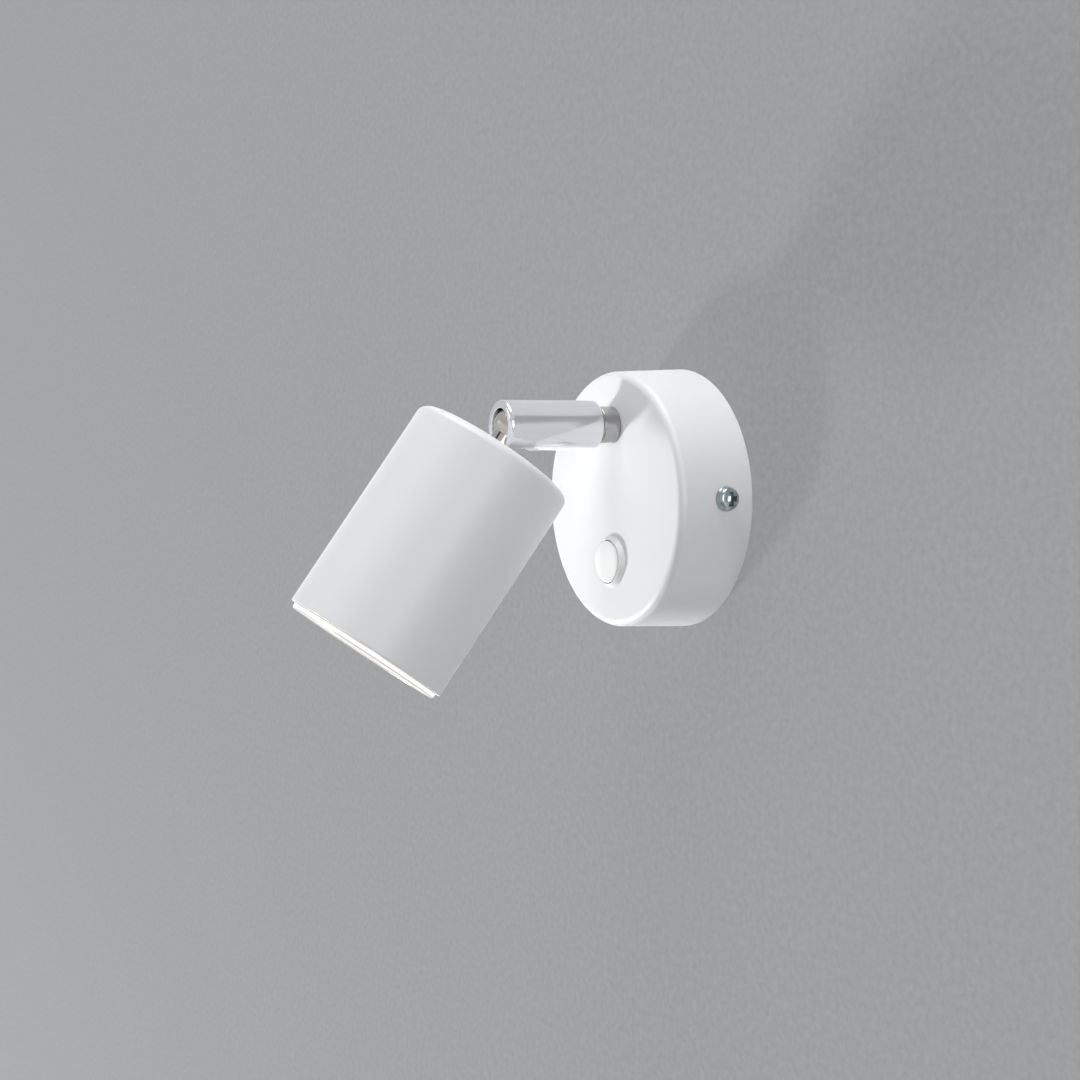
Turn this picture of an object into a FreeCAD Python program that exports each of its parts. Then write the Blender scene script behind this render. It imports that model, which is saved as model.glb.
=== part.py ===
import FreeCAD, Part
import math
import os
from types import SimpleNamespace

import Sketcher

# Pivoting spotlight wall light, in millimetres. The wall is the plane y = 0, the room is
# towards -Y, +Z is up, and the origin is the centre of the base where it meets the wall.
# A chrome arm swivels about its own axis on a neck in the base, and a cylindrical head
# tilts on a ball knuckle inside the arm's notched open end.

SIZES = {
    # base cup
    "cover_radius": 42.5,
    "cover_taper": 1.1,
    "cover_depth": 26.0,
    "cover_rounding": 2.6,
    "cover_wall": 1.5,
    # wall plate
    "plate_radius": 31.0,
    "plate_thickness": 1.5,
    "strap_width": 16.0,
    "ear_reach": 16.0,
    "ear_gap": 0.3,
    "bend_radius": 1.2,
    "slot_spacing": 46.0,
    "slot_length": 10.0,
    "slot_width": 4.6,
    "cable_hole_radius": 7.0,
    # side screws, common to both sides
    "side_screw_depth": 9.7,
    "side_screw_rise": 1.2,
    "screw_radius": 2.0,
    "screw_length": 8.0,
    "screw_head_radius": 4.0,
    "screw_head_height": 2.5,
    "thread_clearance": 0.05,
    "pass_clearance": 0.2,
    # mains terminals on the plate
    "block_width": 25.0,
    "block_height": 11.0,
    "block_depth": 11.5,
    "block_rise": 15.0,
    "block_chamfer": 0.8,
    "pole_pitch": 8.0,
    "wire_hole_radius": 1.8,
    "wire_hole_depth": 4.5,
    "clamp_screw_radius": 1.5,
    "clamp_screw_length": 4.0,
    "clamp_row": 3.0,
    "clamp_screw_sunk": 0.4,
    "fixing_radius": 1.25,
    "fixing_head_radius": 2.2,
    "fixing_head_height": 1.6,
    "earth_across": 20.0,
    "earth_drop": 13.0,
    "earth_head_radius": 3.5,
    "earth_head_height": 2.4,
    "earth_washer_radius": 4.5,
    "earth_washer_thickness": 0.8,
    # switch in the cup's face
    "switch_inset": 22.2,
    "bezel_radius": 8.5,
    "bezel_taper": 1.0,
    "bezel_height": 1.7,
    "barrel_radius": 7.8,
    "barrel_length": 13.0,
    "switch_rear_radius": 6.2,
    "switch_rear_length": 5.0,
    "recess_depth": 3.5,
    "guide_length": 7.0,
    "cap_radius": 6.8,
    "cap_clearance": 0.3,
    "cap_proud": 0.5,
    "cap_dome": 0.7,
    "cap_skirt": 4.0,
    "cap_wall": 1.2,
    "plunger_radius": 2.2,
    "plunger_length": 3.8,
    "guide_clearance": 0.08,
    "blade_width": 4.8,
    "blade_thickness": 0.8,
    "blade_length": 3.5,
    "blade_spacing": 7.0,
    "switch_nut_flats": 19.0,
    "switch_nut_height": 2.5,
    # neck
    "neck_inset": 18.5,
    "neck_radius": 6.2,
    "neck_undercut": 0.3,
    "stud_radius": 4.5,
    "stud_length": 9.5,
    "lead_hole_radius": 1.8,
    "tooth_washer_radius": 7.8,
    "tooth_washer_thickness": 0.8,
    "neck_nut_flats": 13.0,
    "neck_nut_height": 3.0,
    # swivel of the arm on the neck's spigot
    "spigot_radius": 3.0,
    "swivel_clearance": 0.06,
    "swivel_gap": 0.1,
    "stop_washer_radius": 3.9,
    "stop_washer_thickness": 1.2,
    "stop_tab_width": 2.0,
    "stop_tab_reach": 5.1,
    "stop_pin_radius": 0.55,
    "stop_pin_orbit": 4.75,
    "stop_pin_length": 3.2,
    "stop_pin_depth": 2.0,
    "spring_washer_radius": 4.2,
    "spring_washer_thickness": 0.8,
    "swivel_nut_radius": 4.9,
    "swivel_nut_height": 2.5,
    "swivel_nut_slot": 1.2,
    # chrome arm
    "sleeve_start": 31.8,
    "sleeve_length": 35.5,
    "sleeve_radius": 8.0,
    "sleeve_bore": 6.2,
    "sleeve_floor": 4.0,
    "sleeve_chamfer": 1.8,
    "sleeve_chamfer_length": 2.0,
    "lip_width": 0.8,
    "lip_length": 1.5,
    "mouth_rounding": 1.2,
    "mouth_inner_rounding": 0.4,
    "notch_width": 8.5,
    "notch_length": 11.0,
    # tilt joint
    "pivot_inset": 4.7,
    "plug_standoff": 7.0,
    "plug_length": 9.0,
    "plug_clearance": 0.03,
    "plug_groove_width": 2.4,
    "plug_groove_inset": 3.0,
    "tongue_thickness": 3.4,
    "tongue_radius": 4.0,
    "tongue_gap": 0.3,
    "knuckle_radius": 5.9,
    "stem_radius": 4.0,
    "friction_washer_thickness": 0.55,
    "seam_margin": 0.8,
    "pin_radius": 1.5,
    "pin_inset": 0.3,
    "pin_clearance": 0.06,
    "friction_washer_radius": 3.5,
    "friction_gap": 0.05,
    "stem_thread_radius": 3.0,
    "stem_thread_length": 7.2,
    "stem_lead_radius": 1.4,
    "stem_nut_flats": 10.0,
    "stem_nut_height": 3.0,
    # head
    "head_standoff": 10.2,
    "shade_length": 73.8,
    "shade_rounding": 3.6,
    "shade_wall": 1.0,
    "rim_rounding": 0.4,
    "bracket_thickness": 1.2,
    "bracket_width": 12.0,
    "bracket_foot": 8.5,
    "bracket_span": 13.0,
    # lampholder
    "holder_radius": 14.0,
    "holder_height": 15.0,
    "holder_chamfer": 1.0,
    "holder_screw_offset": 10.8,
    "holder_screw_radius": 1.5,
    "holder_head_radius": 2.6,
    "holder_head_height": 1.8,
    "holder_screw_length": 15.0,
    "pin_spacing": 10.0,
    "pin_slot_length": 9.0,
    "pin_slot_width": 5.8,
    "pin_slot_depth": 8.5,
    # lamp
    "lamp_radius": 26.0,
    "lamp_gap": 0.5,
    "lamp_length": 47.0,
    "lamp_proud": 1.8,
    "lamp_base_radius": 12.6,
    "lamp_base_length": 11.0,
    "lamp_shoulder_radius": 15.5,
    "lamp_shoulder_length": 3.5,
    "lamp_flare_length": 26.0,
    "lamp_wall": 1.4,
    "lamp_ring_width": 1.3,
    "lamp_ring_length": 4.0,
    "lamp_bead_rounding": 0.6,
    "lamp_pin_radius": 1.5,
    "lamp_pin_head_radius": 2.4,
    "lamp_pin_head_length": 2.6,
    "lamp_pin_length": 7.0,
    "lens_clearance": 0.05,
    "lens_thickness": 2.2,
    "lens_dome": 0.5,
    "lens_inset": 0.6,
    # pose in which the light is shown, in degrees
    "arm_turn": 8.2,
    "head_tilt": 56.3,
}

doc = FreeCAD.newDocument("pivoting_spotlight")
sheet = doc.addObject("Spreadsheet::Sheet", "sizes")
for row, (alias, number) in enumerate(SIZES.items(), start=1):
    sheet.set("A%d" % row, alias)
    sheet.set("B%d" % row, "%g" % number)
    sheet.setAlias("B%d" % row, alias)
doc.recompute()


class Size:
    """A length or an angle, known as a number and as a formula on the sheet's cells."""

    def __init__(self, number, formula):
        self.number = float(number)
        self.formula = formula

    def __add__(self, other):
        other = as_size(other)
        return Size(self.number + other.number, "(%s + %s)" % (self.formula, other.formula))

    def __sub__(self, other):
        other = as_size(other)
        return Size(self.number - other.number, "(%s - %s)" % (self.formula, other.formula))

    def __mul__(self, other):
        other = as_size(other)
        return Size(self.number * other.number, "(%s * %s)" % (self.formula, other.formula))

    def __truediv__(self, other):
        other = as_size(other)
        return Size(self.number / other.number, "(%s / %s)" % (self.formula, other.formula))

    def __neg__(self):
        return Size(-self.number, "(-1 * %s)" % self.formula)


def as_size(value):
    """A plain number becomes a size of that number."""
    if isinstance(value, Size):
        return value
    return Size(value, "%.12g" % value)


def root(size):
    """Square root of a size."""
    return Size(math.sqrt(size.number), "sqrt(%s)" % size.formula)


mm = SimpleNamespace(**{alias: Size(number, "sizes." + alias) for alias, number in SIZES.items()})

FULL_TURN = 360


# ---------------------------------------------------------------- helpers

def origin_plane(body, role):
    """The body's own origin plane with that role."""
    for feature in body.Origin.OriginFeatures:
        if feature.Role == role:
            return feature
    raise ValueError(role)


def frame(across=0, along=0, rise=0, axis=(0, 0, 1), angle=0):
    """Formula of a placement: a shift, and a turn about an axis."""
    shift = "; ".join(as_size(value).formula for value in (across, along, rise))
    spin = "vector(%d; %d; %d); %s" % (*axis, as_size(angle).formula)
    return "placement(vector(%s); rotation(%s))" % (shift, spin)


def place(thing, *frames):
    """Put an object in a chain of frames."""
    thing.setExpression("Placement", " * ".join(frames) if frames else frame())


def new_sketch(body, name, plane, lift=0):
    """Empty sketch on an origin plane of the body, lifted along the plane's normal."""
    sketch = body.newObject("Sketcher::SketchObject", name)
    sketch.AttachmentSupport = (origin_plane(body, plane), [""])
    sketch.MapMode = "FlatFace"
    sketch.setExpression("AttachmentOffset.Base.z", as_size(lift).formula)
    return sketch


def hold(sketch, kind, geometry, point, size):
    """Hold a point of the sketch at a distance from its origin."""
    constraint = Sketcher.Constraint(kind, -1, 1, geometry, point, size.number)
    index = sketch.addConstraint(constraint)
    sketch.setExpression("Constraints[%d]" % index, size.formula)


def outline(body, name, plane, corners, lift=0, bows=()):
    """Closed outline through the corners; the sides in bows are arcs centred on the sketch's
    vertical axis, each given as the side's number and the height of its centre."""
    sketch = new_sketch(body, name, plane, lift)
    corners = [(as_size(across), as_size(along)) for across, along in corners]
    points = [FreeCAD.Vector(across.number, along.number, 0) for across, along in corners]
    centres = dict(bows)
    count = len(corners)
    first = {}
    for side in range(count):
        start = points[side]
        end = points[(side + 1) % count]
        if side in centres:
            centre = FreeCAD.Vector(0, as_size(centres[side]).number, 0)
            sketch.addGeometry(short_arc(centre, start, end, first, side), False)
        else:
            sketch.addGeometry(Part.LineSegment(start, end), False)
            first[side] = 1
    for side in range(count):
        after = (side + 1) % count
        sketch.addConstraint(Sketcher.Constraint("Coincident", side, 3 - first[side], after, first[after]))
    for side, (across, along) in enumerate(corners):
        hold(sketch, "DistanceX", side, first[side], across)
        hold(sketch, "DistanceY", side, first[side], along)
    for side in centres:
        sketch.addConstraint(Sketcher.Constraint("PointOnObject", side, 3, -2))
    return sketch


def short_arc(centre, start, end, first, side):
    """Arc of under half a turn; first[side] tells which of its ends the outline meets first."""
    radius = (start - centre).Length
    angles = [math.atan2(point.y - centre.y, point.x - centre.x) for point in (start, end)]
    turn = (angles[1] - angles[0]) % math.tau
    forward = turn <= math.pi
    first[side] = 1 if forward else 2
    if not forward:
        angles.reverse()
    circle = Part.Circle(centre, FreeCAD.Vector(0, 0, 1), radius)
    return Part.ArcOfCircle(circle, angles[0], angles[1])


def discs(body, name, plane, places, lift=0):
    """Sketch of circles, each given by its centre and its radius."""
    sketch = new_sketch(body, name, plane, lift)
    for number, entry in enumerate(places):
        across, along, radius = (as_size(value) for value in entry)
        centre = FreeCAD.Vector(across.number, along.number, 0)
        sketch.addGeometry(Part.Circle(centre, FreeCAD.Vector(0, 0, 1), radius.number), False)
        hold(sketch, "DistanceX", number, 3, across)
        hold(sketch, "DistanceY", number, 3, along)
        index = sketch.addConstraint(Sketcher.Constraint("Radius", number, radius.number))
        sketch.setExpression("Constraints[%d]" % index, radius.formula)
    return sketch


def box_corners(across, along, width, height):
    """Corners of a rectangle about a centre."""
    left = across - width / 2
    right = across + width / 2
    low = along - height / 2
    high = along + height / 2
    return [(left, low), (right, low), (right, high), (left, high)]


def new_body(label):
    """Empty body with that label."""
    body = doc.addObject("PartDesign::Body", label)
    body.Label = label
    return body


def turn_about_y(body, name, corners, bows=()):
    """Solid of revolution about the body's Y axis; corners are (radius, y)."""
    sketch = outline(body, name + "_outline", "XY_Plane", corners, bows=bows)
    turn = body.newObject("PartDesign::Revolution", name + "_turn")
    turn.Profile = sketch
    turn.ReferenceAxis = (sketch, ["V_Axis"])
    turn.Angle = FULL_TURN
    return turn


def turned(label, corners, bows=()):
    """Body turned about its own Y axis."""
    body = new_body(label)
    turn_about_y(body, label, corners, bows)
    return body


def pad(body, sketch, length, both_ways=False, backwards=False):
    """Solid swept square to the sketch, along its normal unless told otherwise."""
    feature = body.newObject("PartDesign::Pad", sketch.Name + "_pad")
    feature.Profile = sketch
    feature.SideType = "Symmetric" if both_ways else "One side"
    feature.Reversed = backwards
    feature.setExpression("Length", as_size(length).formula)
    return feature


def cut_through(body, sketch):
    """Opening that goes through everything on both sides of the sketch."""
    feature = body.newObject("PartDesign::Pocket", sketch.Name + "_cut")
    feature.Profile = sketch
    feature.SideType = "Symmetric"
    feature.Type = "ThroughAll"
    return feature


def cut_depth(body, sketch, depth, along_normal=False):
    """Opening of a set depth, against the sketch's normal unless told otherwise."""
    feature = body.newObject("PartDesign::Pocket", sketch.Name + "_cut")
    feature.Profile = sketch
    feature.Reversed = along_normal
    feature.setExpression("Length", as_size(depth).formula)
    return feature


def cut_between(body, sketch, width):
    """Opening of a set width, half of it on each side of the sketch."""
    feature = cut_depth(body, sketch, width)
    feature.SideType = "Symmetric"
    return feature


def rings_at(shape, radius, along):
    """Names of the full circles about the Y axis with that radius and that y."""
    names = []
    for number, edge in enumerate(shape.Edges, start=1):
        curve = edge.Curve
        if not isinstance(curve, Part.Circle):
            continue
        near_axis = math.hypot(curve.Center.x, curve.Center.z) < 0.01
        if near_axis and abs(curve.Radius - radius.number) < 0.01 and abs(curve.Center.y - along.number) < 0.01:
            names.append("Edge%d" % number)
    return names


def soften(body, kind, rings, size):
    """Fillet or Chamfer on rings, each given as its radius and y."""
    base = body.Tip
    doc.recompute()
    names = []
    for radius, along in rings:
        names += rings_at(base.Shape, as_size(radius), as_size(along))
    feature = body.newObject("PartDesign::" + kind, base.Name + "_" + kind.lower())
    feature.Base = (base, names)
    feature.setExpression("Radius" if kind == "Fillet" else "Size", as_size(size).formula)
    return feature


def slots(body, name, centres, length, width):
    """Sketch on the XZ plane of round-ended slots that lie along X."""
    sketch = new_sketch(body, name, "XZ_Plane")
    reach = (length - width) / 2
    radius = width / 2
    normal = FreeCAD.Vector(0, 0, 1)
    for number, (across, rise) in enumerate(centres):
        ends = []
        for side, start in ((1, -math.pi / 2), (-1, math.pi / 2)):
            centre_across = across + reach * side
            centre = FreeCAD.Vector(centre_across.number, rise.number, 0)
            circle = Part.Circle(centre, normal, radius.number)
            ends.append(sketch.addGeometry(Part.ArcOfCircle(circle, start, start + math.pi), False))
            hold(sketch, "DistanceX", ends[-1], 3, centre_across)
            hold(sketch, "DistanceY", ends[-1], 3, rise)
        right, left = ends
        top_points = [sketch.getPoint(right, 2), sketch.getPoint(left, 1)]
        low_points = [sketch.getPoint(left, 2), sketch.getPoint(right, 1)]
        top = sketch.addGeometry(Part.LineSegment(*top_points), False)
        low = sketch.addGeometry(Part.LineSegment(*low_points), False)
        for one, one_end, other, other_end in ((right, 2, top, 1), (top, 2, left, 1),
                                               (left, 2, low, 1), (low, 2, right, 1)):
            sketch.addConstraint(Sketcher.Constraint("Tangent", one, one_end, other, other_end))
        index = sketch.addConstraint(Sketcher.Constraint("Radius", right, radius.number))
        sketch.setExpression("Constraints[%d]" % index, radius.formula)
    return sketch


def washer(label, inner, outer, near, thickness):
    """Flat ring about the Y axis, from y = near towards -Y."""
    far = near - thickness
    return turned(label, [(inner, near), (outer, near), (outer, far), (inner, far)])


def hex_nut(label, flats, height, bore, near, frames):
    """Hexagonal nut about the Y axis, from y = near towards -Y, placed in the frames."""
    blank = doc.addObject("Part::Prism", label + "_blank")
    blank.Polygon = 6
    blank.setExpression("Circumradius", (flats / math.sqrt(3)).formula)
    blank.setExpression("Height", as_size(height).formula)
    hole = doc.addObject("Part::Cylinder", label + "_hole")
    hole.setExpression("Radius", as_size(bore).formula)
    hole.setExpression("Height", as_size(height).formula)
    nut = doc.addObject("Part::Cut", label)
    nut.Label = label
    nut.Base = blank
    nut.Tool = hole
    place(nut, *frames, frame(along=near, axis=(1, 0, 0), angle=90))
    return nut


def compound(label, members):
    """Several separate solids as one sub-part."""
    group = doc.addObject("Part::Compound", label)
    group.Label = label
    group.Links = members
    return group


# ---------------------------------------------------------------- shared places

COVER_FRONT = -mm.cover_depth
COVER_INSIDE = COVER_FRONT + mm.cover_wall
COVER_FRONT_RADIUS = mm.cover_radius - mm.cover_taper
ARM_HEIGHT = mm.cover_radius - mm.neck_inset
SWITCH_DROP = mm.cover_radius - mm.switch_inset
NECK_FRAME = frame(rise=ARM_HEIGHT)
SWITCH_FRAME = frame(rise=-SWITCH_DROP)
ARM_FRAME = frame(rise=ARM_HEIGHT, axis=(0, 1, 0), angle=mm.arm_turn)
SLEEVE_START = -mm.sleeve_start
SLEEVE_END = SLEEVE_START - mm.sleeve_length
SLEEVE_FLOOR = SLEEVE_START - mm.sleeve_floor
MOUTH_RADIUS = mm.sleeve_bore - mm.lip_width
PIVOT = SLEEVE_END + mm.pivot_inset
HEAD_TILT = frame(along=PIVOT, axis=(1, 0, 0), angle=mm.head_tilt)
HEAD_FRAMES = (ARM_FRAME, HEAD_TILT)
CROSSWISE = frame(axis=(0, 0, 1), angle=90)
SHADE_RADIUS = mm.lamp_radius + mm.lamp_gap + mm.shade_wall
SHADE_REAR = -mm.head_standoff
SHADE_INSIDE = SHADE_REAR - mm.shade_wall
SHADE_FRONT = SHADE_REAR - mm.shade_length
LAMP_FRONT = SHADE_FRONT - mm.lamp_proud
LAMP_REAR = LAMP_FRONT + mm.lamp_length
HOLDER_REAR = LAMP_REAR + mm.holder_height


# ---------------------------------------------------------------- base

def cover_inner_radius(depth):
    """Radius inside the cup at a depth from the wall."""
    return mm.cover_radius - mm.cover_taper * depth / mm.cover_depth - mm.cover_wall


def make_base_cover():
    """Tapered cup with a rounded front edge, open to the wall."""
    inside_radius = COVER_FRONT_RADIUS - mm.cover_wall
    cover = turned("base_cover", [
        (0, COVER_FRONT),
        (COVER_FRONT_RADIUS, COVER_FRONT),
        (mm.cover_radius, 0),
        (mm.cover_radius - mm.cover_wall, 0),
        (inside_radius, COVER_INSIDE),
        (0, COVER_INSIDE),
    ])
    soften(cover, "Fillet", [(COVER_FRONT_RADIUS, COVER_FRONT)], mm.cover_rounding)
    soften(cover, "Fillet", [(inside_radius, COVER_INSIDE)], mm.cover_rounding - mm.cover_wall)
    front_holes = discs(cover, "front_holes", "XZ_Plane", [
        (0, ARM_HEIGHT, mm.stud_radius + mm.pass_clearance),
        (0, -SWITCH_DROP, mm.barrel_radius + mm.pass_clearance),
    ])
    cut_through(cover, front_holes)
    side_hole = discs(cover, "side_holes", "YZ_Plane", [
        (-mm.side_screw_depth, mm.side_screw_rise, mm.screw_radius + mm.pass_clearance),
    ])
    cut_through(cover, side_hole)
    return cover


def make_wall_plate():
    """Round plate on the wall with two ears bent forward for the side screws."""
    plate = new_body("wall_plate")
    ear_face = root(cover_inner_radius(mm.ear_reach) * cover_inner_radius(mm.ear_reach)
                    - mm.strap_width * mm.strap_width / 4) - mm.ear_gap
    ear_inside = ear_face - mm.plate_thickness
    strap = outline(plate, "strap_outline", "XY_Plane", [
        (-ear_face, 0),
        (ear_face, 0),
        (ear_face, -mm.ear_reach),
        (ear_inside, -mm.ear_reach),
        (ear_inside, -mm.plate_thickness),
        (-ear_inside, -mm.plate_thickness),
        (-ear_inside, -mm.ear_reach),
        (-ear_face, -mm.ear_reach),
    ])
    pad(plate, strap, mm.strap_width, both_ways=True)
    bend_edges(plate, ear_face, as_size(0), mm.bend_radius + mm.plate_thickness)
    bend_edges(plate, ear_inside, -mm.plate_thickness, mm.bend_radius)
    disc = discs(plate, "plate_disc", "XZ_Plane", [(0, 0, mm.plate_radius)])
    pad(plate, disc, mm.plate_thickness)
    cut_through(plate, slots(plate, "wall_slots", [
        (mm.slot_spacing / 2, as_size(0)),
        (-mm.slot_spacing / 2, as_size(0)),
    ], mm.slot_length, mm.slot_width))
    cut_through(plate, discs(plate, "plate_holes", "XZ_Plane", [
        (0, 0, mm.cable_hole_radius),
        (-mm.earth_across, -mm.earth_drop, mm.screw_radius + mm.thread_clearance),
        (mm.pole_pitch / 2, mm.block_rise, mm.fixing_radius + mm.thread_clearance),
    ]))
    cut_through(plate, discs(plate, "ear_holes", "YZ_Plane", [
        (-mm.side_screw_depth, mm.side_screw_rise, mm.screw_radius + mm.thread_clearance),
    ]))
    return plate


def bend_edges(body, across, along, radius):
    """Round the two upright edges at x = +-across and y = along."""
    base = body.Tip
    doc.recompute()
    names = []
    for number, edge in enumerate(base.Shape.Edges, start=1):
        middle = edge.CenterOfMass
        upright = edge.BoundBox.XLength < 0.01 and edge.BoundBox.YLength < 0.01
        at_bend = abs(abs(middle.x) - across.number) < 0.01 and abs(middle.y - along.number) < 0.01
        if upright and at_bend:
            names.append("Edge%d" % number)
    bend = body.newObject("PartDesign::Fillet", base.Name + "_bend")
    bend.Base = (base, names)
    bend.setExpression("Radius", radius.formula)


PAN_CROWN = 0.55
PAN_EDGE = 0.45


def pan_screw_corners(head_radius, head_height, shank_radius, shank_length):
    """Profile of a pan-head screw: head towards -Y, shank towards +Y."""
    crown = head_radius * PAN_CROWN
    return [
        (0, -head_height),
        (crown, -head_height),
        (head_radius, -head_height * PAN_EDGE),
        (head_radius, 0),
        (shank_radius, 0),
        (shank_radius, shank_length),
        (0, shank_length),
    ]


def make_cover_screws():
    """The two side screws, through the cup into the plate's ears."""
    inner_edge = mm.side_screw_depth - mm.screw_head_radius
    seat = mm.cover_radius - mm.cover_taper * inner_edge / mm.cover_depth + mm.thread_clearance
    screws = []
    for side, name in ((1, "right"), (-1, "left")):
        screw = turned("cover_screw_" + name, pan_screw_corners(
            mm.screw_head_radius, mm.screw_head_height, mm.screw_radius, mm.screw_length))
        place(screw, frame(across=seat * side, along=-mm.side_screw_depth, rise=mm.side_screw_rise,
                           axis=(0, 0, 1), angle=90 * side))
        screws.append(screw)
    return compound("cover_screws", screws)


def make_terminal_block():
    """Three-pole block on the plate, with a wire hole through each pole."""
    block = new_body("terminal_block")
    base = outline(block, "block_outline", "XZ_Plane",
                   box_corners(as_size(0), as_size(0), mm.block_width, mm.block_height))
    bulk = pad(block, base, mm.block_depth)
    doc.recompute()
    front = [
        "Edge%d" % number for number, edge in enumerate(bulk.Shape.Edges, start=1)
        if edge.BoundBox.YLength < 0.01 and edge.CenterOfMass.y < -mm.block_depth.number / 2
    ]
    bevel = block.newObject("PartDesign::Chamfer", "block_bevel")
    bevel.Base = (bulk, front)
    bevel.setExpression("Size", mm.block_chamfer.formula)
    poles = [mm.pole_pitch * number for number in (-1, 0, 1)]
    cut_through(block, discs(block, "wire_holes", "XY_Plane", [
        (across, -mm.wire_hole_depth, mm.wire_hole_radius) for across in poles
    ]))
    clamp_bore = mm.clamp_screw_radius + mm.thread_clearance
    cut_depth(block, discs(block, "clamp_holes", "XZ_Plane", [
        (across, mm.clamp_row * row, clamp_bore) for across in poles for row in (-1, 1)
    ], lift=mm.block_depth), mm.block_depth - mm.wire_hole_depth)
    fixing_across = mm.pole_pitch / 2
    cut_through(block, discs(block, "fixing_hole", "XZ_Plane", [
        (fixing_across, 0, mm.fixing_radius + mm.thread_clearance)]))
    place(block, frame(along=-mm.plate_thickness, rise=mm.block_rise))
    return block


def make_terminal_screws():
    """Six clamping screws, two to a pole."""
    screws = []
    top = -mm.plate_thickness - mm.block_depth
    for pole in (-1, 0, 1):
        for row in (-1, 1):
            screw = turned("clamp_screw", [
                (0, 0), (mm.clamp_screw_radius, 0),
                (mm.clamp_screw_radius, mm.clamp_screw_length), (0, mm.clamp_screw_length)])
            place(screw, frame(across=mm.pole_pitch * pole, along=top + mm.clamp_screw_sunk,
                               rise=mm.block_rise + mm.clamp_row * row))
            screws.append(screw)
    return compound("terminal_screws", screws)


def make_terminal_fixing():
    """Screw that holds the block to the plate."""
    screw = turned("terminal_fixing", pan_screw_corners(
        mm.fixing_head_radius, mm.fixing_head_height, mm.fixing_radius,
        mm.block_depth + mm.plate_thickness - mm.thread_clearance))
    place(screw, frame(across=mm.pole_pitch / 2, along=-mm.plate_thickness - mm.block_depth,
                       rise=mm.block_rise))
    return screw


def make_earth_screw():
    """Earth terminal on the plate: pan head over a washer."""
    seat = mm.earth_washer_thickness
    screw = turned("earth_screw", [
        (0, -seat - mm.earth_head_height),
        (mm.earth_head_radius * PAN_CROWN, -seat - mm.earth_head_height),
        (mm.earth_head_radius, -seat - mm.earth_head_height * PAN_EDGE),
        (mm.earth_head_radius, -seat),
        (mm.earth_washer_radius, -seat),
        (mm.earth_washer_radius, 0),
        (mm.screw_radius, 0),
        (mm.screw_radius, mm.plate_thickness - mm.thread_clearance),
        (0, mm.plate_thickness - mm.thread_clearance),
    ])
    place(screw, frame(across=-mm.earth_across, along=-mm.plate_thickness, rise=-mm.earth_drop))
    return screw


# ---------------------------------------------------------------- switch

BEZEL_FRONT = COVER_FRONT - mm.bezel_height
CAP_BORE = mm.cap_radius + mm.cap_clearance
RECESS_FLOOR = COVER_FRONT + mm.recess_depth
BARREL_END = COVER_FRONT + mm.barrel_length
GUIDE_BORE = mm.plunger_radius + mm.guide_clearance


def make_switch_housing():
    """Bezel, threaded barrel and rear case of the push switch, with two blades."""
    rear = BARREL_END + mm.switch_rear_length
    guide_end = RECESS_FLOOR + mm.guide_length
    housing = turned("switch_housing", [
        (CAP_BORE, BEZEL_FRONT),
        (mm.bezel_radius - mm.bezel_taper, BEZEL_FRONT),
        (mm.bezel_radius, COVER_FRONT),
        (mm.barrel_radius, COVER_FRONT),
        (mm.barrel_radius, BARREL_END),
        (mm.switch_rear_radius, BARREL_END),
        (mm.switch_rear_radius, rear),
        (0, rear),
        (0, guide_end),
        (GUIDE_BORE, guide_end),
        (GUIDE_BORE, RECESS_FLOOR),
        (CAP_BORE, RECESS_FLOOR),
    ])
    for side in (-1, 1):
        blade = outline(housing, "blade", "XZ_Plane", box_corners(
            mm.blade_spacing * side / 2, as_size(0), mm.blade_thickness, mm.blade_width), lift=-rear)
        pad(housing, blade, mm.blade_length, backwards=True)
    place(housing, SWITCH_FRAME)
    return housing


def make_switch_nut():
    """Nut on the barrel, against the inside of the cup's face."""
    return hex_nut("switch_nut", mm.switch_nut_flats, mm.switch_nut_height,
                   mm.barrel_radius + mm.thread_clearance,
                   COVER_INSIDE + mm.switch_nut_height, [SWITCH_FRAME])


def make_switch_button():
    """Domed cap with a skirt and a plunger that runs in the housing's guide."""
    rim = BEZEL_FRONT - mm.cap_proud
    apex = rim - mm.cap_dome
    skirt_end = rim + mm.cap_skirt
    ceiling = rim + mm.cap_wall
    plunger_end = RECESS_FLOOR + mm.plunger_length
    dome_radius = (mm.cap_radius * mm.cap_radius + mm.cap_dome * mm.cap_dome) / (mm.cap_dome * 2)
    button = turned("switch_button", [
        (0, apex),
        (mm.cap_radius, rim),
        (mm.cap_radius, skirt_end),
        (mm.cap_radius - mm.cap_wall, skirt_end),
        (mm.cap_radius - mm.cap_wall, ceiling),
        (mm.plunger_radius, ceiling),
        (mm.plunger_radius, plunger_end),
        (0, plunger_end),
    ], bows=[(0, apex + dome_radius)])
    place(button, SWITCH_FRAME)
    return button


# ---------------------------------------------------------------- neck and swivel

STOP_WASHER_NEAR = SLEEVE_FLOOR - mm.swivel_gap
SPRING_WASHER_NEAR = STOP_WASHER_NEAR - mm.stop_washer_thickness
SWIVEL_NUT_NEAR = SPRING_WASHER_NEAR - mm.spring_washer_thickness
SWIVEL_NUT_FAR = SWIVEL_NUT_NEAR - mm.swivel_nut_height
STUD_END = COVER_INSIDE + mm.stud_length


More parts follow.
